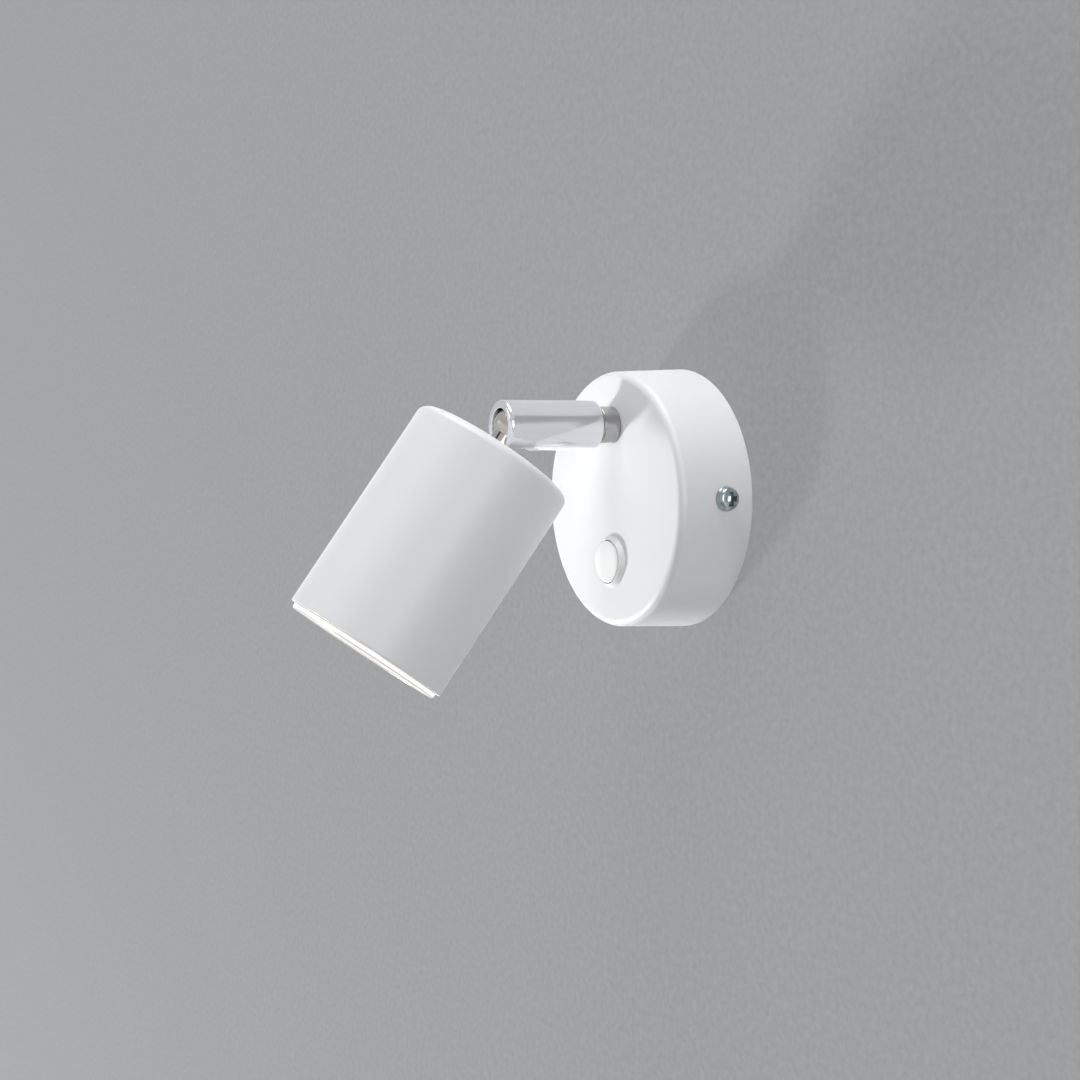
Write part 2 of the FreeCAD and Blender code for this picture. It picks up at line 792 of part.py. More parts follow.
def make_neck_collar():
    """Hollow turned neck: stud through the cup, visible collar, spigot inside the arm."""
    foot = mm.neck_radius - mm.neck_undercut
    collar = turned("neck_collar", [
        (mm.lead_hole_radius, STUD_END),
        (mm.stud_radius, STUD_END),
        (mm.stud_radius, COVER_FRONT),
        (foot, COVER_FRONT),
        (foot, COVER_FRONT - mm.neck_undercut),
        (mm.neck_radius, COVER_FRONT - mm.neck_undercut),
        (mm.neck_radius, SLEEVE_START + mm.swivel_gap),
        (mm.spigot_radius, SLEEVE_START + mm.swivel_gap),
        (mm.spigot_radius, SWIVEL_NUT_FAR - mm.neck_undercut),
        (mm.lead_hole_radius, SWIVEL_NUT_FAR - mm.neck_undercut),
    ])
    place(collar, NECK_FRAME)
    return collar


def make_neck_washer():
    """Toothed washer under the neck's nut, inside the cup."""
    ring = washer("neck_washer", mm.stud_radius + mm.pass_clearance, mm.tooth_washer_radius,
                  COVER_INSIDE + mm.tooth_washer_thickness, mm.tooth_washer_thickness)
    place(ring, NECK_FRAME)
    return ring


def make_neck_nut():
    """Nut on the neck's stud, inside the cup."""
    near = COVER_INSIDE + mm.tooth_washer_thickness + mm.neck_nut_height
    return hex_nut("neck_nut", mm.neck_nut_flats, mm.neck_nut_height,
                   mm.stud_radius + mm.thread_clearance, near, [NECK_FRAME])


def make_stop_washer():
    """Ring on the spigot with one tab, pointing down, that the arm's stop pin meets."""
    inner = mm.spigot_radius + mm.thread_clearance
    ring = washer("stop_washer", inner, mm.stop_washer_radius, STOP_WASHER_NEAR,
                  mm.stop_washer_thickness)
    root_rise = -(inner + mm.stop_washer_radius) / 2
    tab_rise = (root_rise - mm.stop_tab_reach) / 2
    tab = outline(ring, "stop_tab", "XZ_Plane", box_corners(
        as_size(0), tab_rise, mm.stop_tab_width, mm.stop_tab_reach + root_rise),
        lift=-STOP_WASHER_NEAR)
    pad(ring, tab, mm.stop_washer_thickness)
    place(ring, NECK_FRAME)
    return ring


def make_swivel_washer():
    """Spring washer that keeps the swivel stiff."""
    ring = washer("swivel_washer", mm.spigot_radius + mm.thread_clearance,
                  mm.spring_washer_radius, SPRING_WASHER_NEAR, mm.spring_washer_thickness)
    place(ring, NECK_FRAME)
    return ring


def make_swivel_nut():
    """Round nut with two tool slots, which clamps the arm against the neck."""
    nut = washer("swivel_nut", mm.spigot_radius + mm.thread_clearance, mm.swivel_nut_radius,
                 SWIVEL_NUT_NEAR, mm.swivel_nut_height)
    slot = outline(nut, "tool_slots", "XZ_Plane", box_corners(
        as_size(0), as_size(0), (mm.swivel_nut_radius + mm.pass_clearance) * 2, mm.swivel_nut_slot),
        lift=-SWIVEL_NUT_FAR)
    cut_depth(nut, slot, mm.swivel_nut_slot)
    place(nut, NECK_FRAME)
    return nut


# ---------------------------------------------------------------- arm

def make_arm_sleeve():
    """Chrome tube: bevelled end with a floor at the neck, notched open end with a rolled-in lip."""
    sleeve = turned("arm_sleeve", [
        (mm.spigot_radius + mm.swivel_clearance, SLEEVE_START),
        (mm.sleeve_radius - mm.sleeve_chamfer, SLEEVE_START),
        (mm.sleeve_radius, SLEEVE_START - mm.sleeve_chamfer_length),
        (mm.sleeve_radius, SLEEVE_END),
        (MOUTH_RADIUS, SLEEVE_END),
        (MOUTH_RADIUS, SLEEVE_END + mm.lip_length),
        (mm.sleeve_bore, SLEEVE_END + mm.lip_length),
        (mm.sleeve_bore, SLEEVE_FLOOR),
        (mm.spigot_radius + mm.swivel_clearance, SLEEVE_FLOOR),
    ])
    soften(sleeve, "Fillet", [(mm.sleeve_radius, SLEEVE_END)], mm.mouth_rounding)
    soften(sleeve, "Fillet", [(MOUTH_RADIUS, SLEEVE_END)], mm.mouth_inner_rounding)
    notch = outline(sleeve, "notch", "XY_Plane", box_corners(
        as_size(0), SLEEVE_END, mm.notch_width, mm.notch_length * 2))
    cut_depth(sleeve, notch, mm.sleeve_radius + mm.pass_clearance)
    pin_hole = discs(sleeve, "stop_pin_hole", "XZ_Plane", [
        (0, mm.stop_pin_orbit, mm.stop_pin_radius + mm.plug_clearance)], lift=-SLEEVE_FLOOR)
    cut_depth(sleeve, pin_hole, mm.stop_pin_depth)
    place(sleeve, ARM_FRAME)
    return sleeve


def make_stop_pin():
    """Small pin in the sleeve's floor; it meets the tab at each end of the swivel."""
    inner_end = SLEEVE_FLOOR + mm.stop_pin_depth
    pin = turned("stop_pin", [
        (0, inner_end), (mm.stop_pin_radius, inner_end),
        (mm.stop_pin_radius, inner_end - mm.stop_pin_length), (0, inner_end - mm.stop_pin_length)])
    place(pin, ARM_FRAME, frame(rise=mm.stop_pin_orbit))
    return pin


def make_pivot_tongue():
    """Plug pressed into the tube, and the flat tongue that the knuckle clasps."""
    plug_front = PIVOT + mm.plug_standoff
    plug_rear = plug_front + mm.plug_length
    plug_radius = mm.sleeve_bore - mm.plug_clearance
    tongue = turned("pivot_tongue", [
        (0, plug_front), (plug_radius, plug_front), (plug_radius, plug_rear), (0, plug_rear)])
    groove_across = plug_radius + mm.plug_groove_inset
    cut_through(tongue, outline(tongue, "lead_groove_right", "XZ_Plane", box_corners(
        groove_across, as_size(0), plug_radius * 2, mm.plug_groove_width)))
    cut_through(tongue, outline(tongue, "lead_groove_left", "XZ_Plane", box_corners(
        -groove_across, as_size(0), plug_radius * 2, mm.plug_groove_width)))
    blade_middle = (plug_front + PIVOT) / 2
    blade = outline(tongue, "tongue_blade", "YZ_Plane", box_corners(
        blade_middle, as_size(0), plug_front - PIVOT, mm.tongue_radius * 2))
    pad(tongue, blade, mm.tongue_thickness, both_ways=True)
    eye = discs(tongue, "tongue_eye", "YZ_Plane", [(PIVOT, 0, mm.tongue_radius)])
    pad(tongue, eye, mm.tongue_thickness, both_ways=True)
    hole = discs(tongue, "tongue_hole", "YZ_Plane", [(PIVOT, 0, mm.pin_radius + mm.pin_clearance)])
    cut_through(tongue, hole)
    place(tongue, ARM_FRAME)
    return tongue


# ---------------------------------------------------------------- head

CHEEK_FACE = mm.tongue_thickness / 2 + mm.friction_gap + mm.friction_washer_thickness


def make_knuckle():
    """Ball pocketed for the tongue, on a stem with a seam beside each cheek, threaded at its foot."""
    shoulder = -root(mm.knuckle_radius * mm.knuckle_radius - mm.stem_radius * mm.stem_radius)
    thread_end = SHADE_REAR - mm.stem_thread_length
    knuckle = turned("knuckle", [
        (0, mm.knuckle_radius),
        (mm.knuckle_radius, 0),
        (mm.stem_radius, shoulder),
        (mm.stem_radius, SHADE_REAR),
        (mm.stem_thread_radius, SHADE_REAR),
        (mm.stem_thread_radius, thread_end),
        (0, thread_end),
    ], bows=[(0, 0), (1, 0)])
    pocket_reach = mm.tongue_radius + mm.tongue_gap
    beyond = mm.knuckle_radius + mm.pass_clearance
    pocket = outline(knuckle, "tongue_pocket", "YZ_Plane", [
        (0, pocket_reach),
        (beyond, pocket_reach),
        (beyond, -beyond),
        (-pocket_reach, -beyond),
        (-pocket_reach, 0),
    ], bows=[(4, 0)])
    cut_between(knuckle, pocket, CHEEK_FACE * 2)
    seam_width = CHEEK_FACE - mm.tongue_thickness / 2
    seam_across = CHEEK_FACE - seam_width / 2
    seam_length = mm.head_standoff - mm.seam_margin - pocket_reach
    seam_middle = -pocket_reach - seam_length / 2
    for side, name in ((1, "right"), (-1, "left")):
        cut_through(knuckle, outline(knuckle, "seam_" + name, "XY_Plane", box_corners(
            seam_across * side, seam_middle, seam_width, seam_length)))
    cut_through(knuckle, discs(knuckle, "knuckle_pin_hole", "YZ_Plane", [(0, 0, mm.pin_radius)]))
    cut_through(knuckle, discs(knuckle, "lead_hole", "XZ_Plane", [(0, 0, mm.stem_lead_radius)]))
    place(knuckle, *HEAD_FRAMES)
    return knuckle


def make_pivot_pin():
    """Hidden pin of the tilt joint, flush inside the ball."""
    half = mm.knuckle_radius - mm.pin_inset * 2
    pin = turned("pivot_pin", [(0, -half), (mm.pin_radius, -half), (mm.pin_radius, half), (0, half)])
    place(pin, *HEAD_FRAMES, CROSSWISE)
    return pin


def make_friction_washers():
    """One washer on each side of the tongue."""
    washer_middle = CHEEK_FACE - mm.friction_washer_thickness / 2
    rings = []
    for side in (-1, 1):
        near = mm.friction_washer_thickness / 2 + washer_middle * side
        ring = washer("friction_washer", mm.pin_radius + mm.pin_clearance,
                      mm.friction_washer_radius, near, mm.friction_washer_thickness)
        place(ring, *HEAD_FRAMES, CROSSWISE)
        rings.append(ring)
    return compound("friction_washers", rings)


def make_stem_nut():
    """Nut that holds the knuckle and the bracket to the shade's rear wall."""
    near = SHADE_INSIDE - mm.bracket_thickness
    return hex_nut("stem_nut", mm.stem_nut_flats, mm.stem_nut_height,
                   mm.stem_thread_radius + mm.thread_clearance, near, HEAD_FRAMES)


def make_shade():
    """Cylindrical shade with a rounded rear edge and an open front."""
    hole = mm.stem_thread_radius + mm.pass_clearance
    inside = SHADE_RADIUS - mm.shade_wall
    shade = turned("shade", [
        (hole, SHADE_REAR),
        (SHADE_RADIUS, SHADE_REAR),
        (SHADE_RADIUS, SHADE_FRONT),
        (inside, SHADE_FRONT),
        (inside, SHADE_INSIDE),
        (hole, SHADE_INSIDE),
    ])
    soften(shade, "Fillet", [(SHADE_RADIUS, SHADE_REAR)], mm.shade_rounding)
    soften(shade, "Fillet", [(inside, SHADE_INSIDE)], mm.shade_rounding - mm.shade_wall)
    soften(shade, "Fillet", [(SHADE_RADIUS, SHADE_FRONT), (inside, SHADE_FRONT)], mm.rim_rounding)
    place(shade, *HEAD_FRAMES)
    return shade


def make_holder_bracket():
    """Hat-shaped strap: foot on the shade's rear wall, two tabs under the lampholder."""
    bracket = new_body("holder_bracket")
    foot = mm.bracket_foot
    leg = foot - mm.bracket_thickness
    tab_rear = HOLDER_REAR + mm.bracket_thickness
    half = [
        (foot, SHADE_INSIDE),
        (foot, tab_rear),
        (mm.bracket_span, tab_rear),
        (mm.bracket_span, HOLDER_REAR),
        (leg, HOLDER_REAR),
        (leg, SHADE_INSIDE - mm.bracket_thickness),
    ]
    mirrored = [(-across, along) for across, along in reversed(half)]
    pad(bracket, outline(bracket, "hat_outline", "XY_Plane", half + mirrored),
        mm.bracket_width, both_ways=True)
    cut_through(bracket, discs(bracket, "bracket_holes", "XZ_Plane", [
        (0, 0, mm.stem_thread_radius + mm.pass_clearance),
        (mm.holder_screw_offset, 0, mm.holder_screw_radius + mm.thread_clearance),
        (-mm.holder_screw_offset, 0, mm.holder_screw_radius + mm.thread_clearance),
    ]))
    place(bracket, *HEAD_FRAMES)
    return bracket


def make_lampholder():
    """Twist-lock lampholder with two slots for the lamp's pins."""
    holder = turned("lampholder", [
        (0, LAMP_REAR), (mm.holder_radius, LAMP_REAR),
        (mm.holder_radius, HOLDER_REAR), (0, HOLDER_REAR)])
    soften(holder, "Chamfer", [(mm.holder_radius, LAMP_REAR)], mm.holder_chamfer)
    half_spacing = mm.pin_spacing / 2
    slot = slots(holder, "pin_slots", [(as_size(0), half_spacing), (as_size(0), -half_spacing)],
                 mm.pin_slot_length, mm.pin_slot_width)
    slot.setExpression("AttachmentOffset.Base.z", (-LAMP_REAR).formula)
    cut_depth(holder, slot, mm.pin_slot_depth)
    screw_places = [(mm.holder_screw_offset * side, 0) for side in (-1, 1)]
    cut_through(holder, discs(holder, "holder_screw_holes", "XZ_Plane", [
        (across, rise, mm.holder_screw_radius + mm.pass_clearance) for across, rise in screw_places]))
    cut_depth(holder, discs(holder, "holder_head_seats", "XZ_Plane", [
        (across, rise, mm.holder_head_radius + mm.pass_clearance) for across, rise in screw_places
    ], lift=-LAMP_REAR), mm.holder_head_height + mm.pass_clearance)
    place(holder, *HEAD_FRAMES)
    return holder


def make_holder_screws():
    """Two screws through the lampholder into the bracket's tabs."""
    seat = LAMP_REAR + mm.holder_head_height + mm.pass_clearance
    screws = []
    for side in (-1, 1):
        screw = turned("holder_screw", pan_screw_corners(
            mm.holder_head_radius, mm.holder_head_height, mm.holder_screw_radius,
            mm.holder_screw_length))
        place(screw, *HEAD_FRAMES, frame(across=mm.holder_screw_offset * side, along=seat))
        screws.append(screw)
    return compound("holder_screws", screws)


LAMP_RING_REAR = LAMP_FRONT + mm.lamp_ring_length
LAMP_RING_INNER = mm.lamp_radius - mm.lamp_ring_width


def make_lamp_body():
    """Flared lamp body: base, shoulder, flare and cup for the lens."""
    base_end = LAMP_REAR - mm.lamp_base_length
    shoulder_end = base_end - mm.lamp_shoulder_length
    flare_end = shoulder_end - mm.lamp_flare_length
    cup_floor = LAMP_FRONT + mm.lens_inset + mm.lens_thickness
    lamp = turned("lamp_body", [
        (0, LAMP_REAR),
        (mm.lamp_base_radius, LAMP_REAR),
        (mm.lamp_base_radius, base_end),
        (mm.lamp_shoulder_radius, shoulder_end),
        (mm.lamp_radius - mm.lamp_wall, flare_end),
        (mm.lamp_radius - mm.lamp_wall, LAMP_RING_REAR),
        (LAMP_RING_INNER, LAMP_RING_REAR),
        (LAMP_RING_INNER, cup_floor),
        (0, cup_floor),
    ])
    place(lamp, *HEAD_FRAMES)
    return lamp


def make_lamp_ring():
    """Bright rim round the lens, with a rounded front bead."""
    inner = LAMP_RING_INNER + mm.lens_clearance
    ring = turned("lamp_ring", [
        (inner, LAMP_RING_REAR),
        (mm.lamp_radius, LAMP_RING_REAR),
        (mm.lamp_radius, LAMP_FRONT),
        (inner, LAMP_FRONT),
    ])
    soften(ring, "Fillet", [(mm.lamp_radius, LAMP_FRONT), (inner, LAMP_FRONT)], mm.lamp_bead_rounding)
    place(ring, *HEAD_FRAMES)
    return ring


def make_lamp_lens():
    """Slightly domed front lens inside the lamp's rim."""
    edge_front = LAMP_FRONT + mm.lens_inset
    rear = edge_front + mm.lens_thickness
    radius = LAMP_RING_INNER - mm.lens_clearance
    apex = edge_front - mm.lens_dome
    curve = (radius * radius + mm.lens_dome * mm.lens_dome) / (mm.lens_dome * 2)
    lens = turned("lamp_lens", [
        (0, apex), (radius, edge_front), (radius, rear), (0, rear),
    ], bows=[(0, apex + curve)])
    place(lens, *HEAD_FRAMES)
    return lens


def make_lamp_pins():
    """The lamp's two headed pins."""
    neck_end = mm.lamp_pin_length - mm.lamp_pin_head_length
    pins = []
    for side in (-1, 1):
        pin = turned("lamp_pin", [
            (0, 0), (mm.lamp_pin_radius, 0), (mm.lamp_pin_radius, neck_end),
            (mm.lamp_pin_head_radius, neck_end), (mm.lamp_pin_head_radius, mm.lamp_pin_length),
            (0, mm.lamp_pin_length)])
        place(pin, *HEAD_FRAMES, frame(along=LAMP_REAR, rise=mm.pin_spacing * side / 2))
        pins.append(pin)
    return compound("lamp_pins", pins)


# ---------------------------------------------------------------- assembly and files

def check(sub_parts):
    """Stop if any object failed, any cut removed nothing, or any solid is not sound."""
    for thing in doc.Objects:
        if "Invalid" in thing.State or "Error" in thing.State:
            raise RuntimeError("%s failed: %s" % (thing.Name, thing.State))
        if thing.TypeId == "PartDesign::Pocket":
            if thing.BaseFeature.Shape.Volume - thing.Shape.Volume < 0.001:
                raise RuntimeError("%s cuts nothing" % thing.Name)
    for part in sub_parts:
        if part.Shape.isNull() or not part.Shape.isValid() or not part.Shape.Solids:
            raise RuntimeError("%s has no sound shape" % part.Label)


def main():
    sub_parts = [
        make_wall_plate(),
        make_terminal_block(),
        make_terminal_screws(),
        make_terminal_fixing(),
        make_earth_screw(),
        make_base_cover(),
        make_cover_screws(),
        make_switch_housing(),
        make_switch_nut(),
        make_switch_button(),
        make_neck_collar(),
        make_neck_washer(),
        make_neck_nut(),
        make_stop_washer(),
        make_swivel_washer(),
        make_swivel_nut(),
        make_arm_sleeve(),
        make_stop_pin(),
        make_pivot_tongue(),
        make_knuckle(),
        make_pivot_pin(),
        make_friction_washers(),
        make_stem_nut(),
        make_shade(),
        make_holder_bracket(),
        make_lampholder(),
        make_holder_screws(),
        make_lamp_body(),
        make_lamp_ring(),
        make_lamp_lens(),
        make_lamp_pins(),
    ]
    doc.recompute()
    check(sub_parts)
    os.makedirs("parts", exist_ok=True)
    for part in sub_parts:
        part.Shape.exportStep("parts/%s.step" % part.Label)
        print("%-18s solids %d volume %9.2f" % (part.Label, len(part.Shape.Solids), part.Shape.Volume))


main()
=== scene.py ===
import math

import bmesh
import bpy
from mathutils import Matrix, Vector


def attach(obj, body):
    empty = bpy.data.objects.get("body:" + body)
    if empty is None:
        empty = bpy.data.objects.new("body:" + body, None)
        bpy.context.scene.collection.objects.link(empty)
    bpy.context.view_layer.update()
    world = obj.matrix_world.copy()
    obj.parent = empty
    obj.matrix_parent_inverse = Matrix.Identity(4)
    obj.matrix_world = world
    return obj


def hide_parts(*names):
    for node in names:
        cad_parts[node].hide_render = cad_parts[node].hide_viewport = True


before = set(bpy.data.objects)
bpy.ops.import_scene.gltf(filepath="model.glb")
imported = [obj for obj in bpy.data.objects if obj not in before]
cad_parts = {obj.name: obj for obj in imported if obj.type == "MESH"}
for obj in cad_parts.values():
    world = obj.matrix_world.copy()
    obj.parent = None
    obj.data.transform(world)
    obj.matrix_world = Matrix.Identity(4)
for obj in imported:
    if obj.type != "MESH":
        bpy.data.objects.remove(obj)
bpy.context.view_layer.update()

# Sizes are in millimetres until a mesh is made. The wall is y = 0, the room is towards -Y,
# +Z is up. Turned pieces are drawn as (radius, y) outlines about their own Y axis.

MM = 0.001

# The light's main sizes and places.
ARM_HEIGHT = 24.0
ARM_TURN = math.radians(8.2)
HEAD_TILT = math.radians(56.3)
SWITCH_DROP = 20.3
COVER_RADIUS = 42.5
COVER_FRONT_RADIUS = 41.4
COVER_DEPTH = 26.0
COVER_WALL = 1.5
COVER_INSIDE = -COVER_DEPTH + COVER_WALL
PLATE_THICKNESS = 1.5
SIDE_SCREW_DEPTH = 9.7
SIDE_SCREW_RISE = 1.2
NECK_HOLE = 4.7
NECK_RADIUS = 6.2
SLEEVE_START = -31.8
SLEEVE_FLOOR = SLEEVE_START - 4.0
SLEEVE_END = -67.3
PIVOT = -62.6
SHADE_REAR = -10.2
SHADE_WALL = 1.0
SHADE_RADIUS = 27.5
SHADE_FRONT = SHADE_REAR - 73.8
LAMP_FRONT = SHADE_FRONT - 1.8
LAMP_REAR = LAMP_FRONT + 47.0
LAMP_RADIUS = 26.0
HOLDER_SCREW_OFFSET = 10.8
BLOCK_RISE = 15.0
BLOCK_DEPTH = 11.5
POLE_PITCH = 8.0
CLAMP_ROW = 3.0
THROUGH = 20.0  # half the length of a drill that goes right through a small piece

WORLD_PLACE = Matrix.Identity(4)
NECK_PLACE = Matrix.Translation((0, 0, ARM_HEIGHT))
SWITCH_PLACE = Matrix.Translation((0, 0, -SWITCH_DROP))
SIDE_SCREW_PLACE = Matrix.Translation((0, -SIDE_SCREW_DEPTH, SIDE_SCREW_RISE))
ARM_PLACE = NECK_PLACE @ Matrix.Rotation(ARM_TURN, 4, "Y")
HEAD_PLACE = ARM_PLACE @ Matrix.Translation((0, PIVOT, 0)) @ Matrix.Rotation(HEAD_TILT, 4, "X")
CROSSWISE = Matrix.Rotation(math.radians(90), 4, "Z")
UPRIGHT = Matrix.Rotation(math.radians(90), 4, "X")

SMOOTH_ANGLE = math.radians(30)
SUPPORT = 0.05  # from a rounding to the loop that keeps the flat beside it flat in the shading
SAME_POINT = 1e-6  # metres within which turned points are merged
TOUCHING = 1.0 * MM  # rays shorter than this pass the wall and the floor
BLACK = (0, 0, 0, 1)


# ---------------------------------------------------------------- nodes written as sums

class Signal:
    """One socket of a node tree, which takes part in Python arithmetic."""

    def __init__(self, socket):
        self.socket = socket

    @staticmethod
    def make(tree, kind, inputs=None, output=0, **settings):
        """Add a node: its settings first, then the values or links of its sockets."""
        node = tree.nodes.new(kind)
        for name, value in settings.items():
            setattr(node, name, value)
        for key, value in (inputs or {}).items():
            if isinstance(value, Signal):
                tree.links.new(value.socket, node.inputs[key])
            else:
                node.inputs[key].default_value = value
        return Signal(node.outputs[output])

    def other(self, output):
        """Another output of the same node."""
        return Signal(self.socket.node.outputs[output])

    def math(self, operation, first, second=0.0):
        tree = self.socket.id_data
        return Signal.make(tree, "ShaderNodeMath", {0: first, 1: second}, operation=operation)

    def __add__(self, value):
        return self.math("ADD", self, value)

    def __radd__(self, value):
        return self.math("ADD", value, self)

    def __sub__(self, value):
        return self.math("SUBTRACT", self, value)

    def __rsub__(self, value):
        return self.math("SUBTRACT", value, self)

    def __mul__(self, value):
        return self.math("MULTIPLY", self, value)

    def __rmul__(self, value):
        return self.math("MULTIPLY", value, self)

    def __truediv__(self, value):
        return self.math("DIVIDE", self, value)

    def __mod__(self, value):
        return self.math("MODULO", self, value)

    def __gt__(self, value):
        return self.math("GREATER_THAN", self, value)

    def function(self, operation, value=0.0):
        """A Math node of one of the other operations, such as FLOOR or COSINE."""
        return self.math(operation, self, value)


# ---------------------------------------------------------------- finishes

def tint(red, green, blue):
    """Linear colour with alpha from an 8-bit screen colour."""
    def linear(value):
        share = value / 255
        return share / 12.92 if share <= 0.04045 else ((share + 0.055) / 1.055) ** 2.4
    return (linear(red), linear(green), linear(blue), 1.0)


class Finish:
    """A material under construction: its tree, its shader and its object coordinates."""

    def __init__(self, name):
        self.material = bpy.data.materials.new(name)
        self.material.use_nodes = True
        self.tree = self.material.node_tree
        self.shader = self.tree.nodes["Principled BSDF"]
        self.place = self.make("ShaderNodeTexCoord", output="Object")

    def make(self, kind, inputs=None, output=0, **settings):
        return Signal.make(self.tree, kind, inputs, output, **settings)

    def stretched(self, place, stretch):
        """Object coordinates in a piece's own frame, in millimetres, scaled along its axes."""
        turn = place.to_3x3().transposed().to_euler()
        shifted = self.make("ShaderNodeMapping", {
            "Vector": self.place, "Location": [-value * MM for value in place.translation]})
        turned = self.make("ShaderNodeMapping", {"Vector": shifted, "Rotation": turn})
        return self.make("ShaderNodeVectorMath", {
            0: turned, 1: [value / MM for value in stretch]}, operation="MULTIPLY")

    def noise(self, size, detail=2.0, roughness=0.5, where=None, seed=0.0):
        """Noise with features about size millimetres across, from 0 to 1."""
        return self.make("ShaderNodeTexNoise", {
            "Vector": where or self.place, "W": seed, "Detail": detail, "Roughness": roughness,
            "Scale": (1.0 if where else 1 / MM) / size}, noise_dimensions="4D")

    def mix(self, share, first, second):
        """Blend of two colours."""
        return self.make("ShaderNodeMix", {0: share, 6: first, 7: second}, output=2,
                         data_type="RGBA")

    def ramp(self, value, low, high):
        """The value carried from low..high to 0..1, held inside."""
        return self.make("ShaderNodeMapRange", {
            "Value": value, "From Min": low, "From Max": high}, clamp=True)

    def bump(self, height, depth, strength, under=None):
        """Relief of the height times depth, in millimetres."""
        inputs = {"Height": height, "Distance": depth * MM, "Strength": strength}
        if under:
            inputs["Normal"] = under
        return self.make("ShaderNodeBump", inputs)

    def set(self, **sockets):
        """Values or links of the shader's sockets, with _ for a space in their names."""
        for name, value in sockets.items():
            socket = self.shader.inputs[name.replace("_", " ")]
            if isinstance(value, Signal):
                self.tree.links.new(value.socket, socket)
            else:
                socket.default_value = value
        return self.material


def powder_coat():
    """White powder coat: fine orange peel, a few dust nibs, faintly uneven gloss."""
    finish = Finish("white powder coat")
    peel = finish.noise(1.1, detail=3.0)
    grain = finish.noise(0.28, detail=1.0, seed=4.0)
    nibs = finish.ramp(finish.noise(0.9, detail=0.0, seed=9.0), 0.80, 0.86)
    cloud = finish.noise(26.0, detail=3.0, seed=2.0)
    colour = finish.mix(cloud, tint(236, 236, 237), tint(240, 240, 241))
    relief = finish.bump(peel, 0.012, 0.7)
    relief = finish.bump(grain, 0.003, 0.6, relief)
    relief = finish.bump(nibs, 0.02, 0.6, relief)
    return finish.set(Base_Color=colour, Roughness=0.34 + 0.10 * cloud + 0.05 * peel,
                      Normal=relief, Specular_IOR_Level=0.5)


def chrome_plate(place):
    """Bright chrome over a polished tube: faint draw lines along it, light wipe marks."""
    finish = Finish("chrome plate")
    along = finish.stretched(place, (1.0, 0.04, 1.0))
    lines = finish.noise(0.16, detail=2.0, where=along)
    wipe = finish.noise(7.0, detail=4.0, roughness=0.6, seed=3.0)
    colour = finish.mix(wipe, tint(228, 231, 234), tint(236, 238, 240))
    smear = finish.ramp(wipe, 0.45, 0.75)
    relief = finish.bump(lines, 0.0006, 0.5)
    return finish.set(Base_Color=colour, Metallic=1.0, Normal=relief,
                      Roughness=0.08 + 0.05 * smear + 0.02 * lines)


def satin_nickel(name, place, stretch, dark, pale, gloss):
    """Satin nickel with fine turning marks; stretch runs the marks round or along the piece."""
    finish = Finish(name)
    where = finish.stretched(place, stretch)
    marks = finish.noise(0.22, detail=3.0, where=where)
    cloud = finish.noise(4.0, detail=2.0, seed=5.0)
    colour = finish.mix(cloud, dark, pale)
    relief = finish.bump(marks, 0.0025, 0.7)
    return finish.set(Base_Color=colour, Metallic=1.0, Normal=relief,
                      Roughness=gloss + 0.12 * marks + 0.05 * cloud)


def zinc_plate():
    """Bright zinc: bluish, in darker and brighter clouds, with a fine crystalline sparkle."""
    finish = Finish("bright zinc plate")
    cloud = finish.noise(5.0, detail=3.0, seed=1.0)
    crystal_size = 0.5 * MM
    crystal = finish.make("ShaderNodeTexVoronoi", {
        "Vector": finish.place, "Scale": 1 / crystal_size})
    bright = finish.ramp(cloud, 0.42, 0.62)
    colour = finish.mix(bright, tint(150, 164, 170), tint(212, 215, 214))
    relief = finish.bump(crystal, 0.004, 0.5)
    return finish.set(Base_Color=colour, Metallic=1.0, Normal=relief,
                      Roughness=0.10 + 0.10 * cloud + 0.06 * crystal)


def plain_brass():
    """Brass with a light tarnish in patches."""
    finish = Finish("plain brass")
    tarnish = finish.ramp(finish.noise(2.4, detail=4.0), 0.45, 0.8)
    colour = finish.mix(tarnish, tint(214, 182, 112), tint(168, 134, 76))
    return finish.set(Base_Color=colour, Metallic=1.0, Roughness=0.22 + 0.3 * tarnish,
                      Normal=finish.bump(tarnish, 0.002, 0.4))


def moulded(name, first, second, gloss, texture_size, texture_depth):
    """Moulded plastic: two close tones, a moulding texture and slightly uneven gloss."""
    finish = Finish(name)
    cloud = finish.noise(9.0, detail=2.0, seed=6.0)
    texture = finish.noise(texture_size, detail=2.0, seed=7.0)
    return finish.set(Base_Color=finish.mix(cloud, first, second),
                      Roughness=gloss + 0.06 * cloud + 0.04 * texture,
                      Normal=finish.bump(texture, texture_depth, 0.6))


def unglazed_ceramic():
    """Pressed steatite: off-white, dry, with small dark specks and pores."""
    finish = Finish("unglazed ceramic")
    specks = finish.ramp(finish.noise(0.45, detail=1.0), 0.66, 0.72)
    pores = finish.noise(0.3, detail=3.0, seed=2.0)
    body = finish.mix(finish.noise(6.0), tint(232, 227, 215), tint(241, 238, 229))
    return finish.set(Base_Color=finish.mix(specks * 0.35, body, tint(168, 158, 140)),
                      Roughness=0.62 + 0.2 * pores, Normal=finish.bump(pores, 0.02, 0.8))


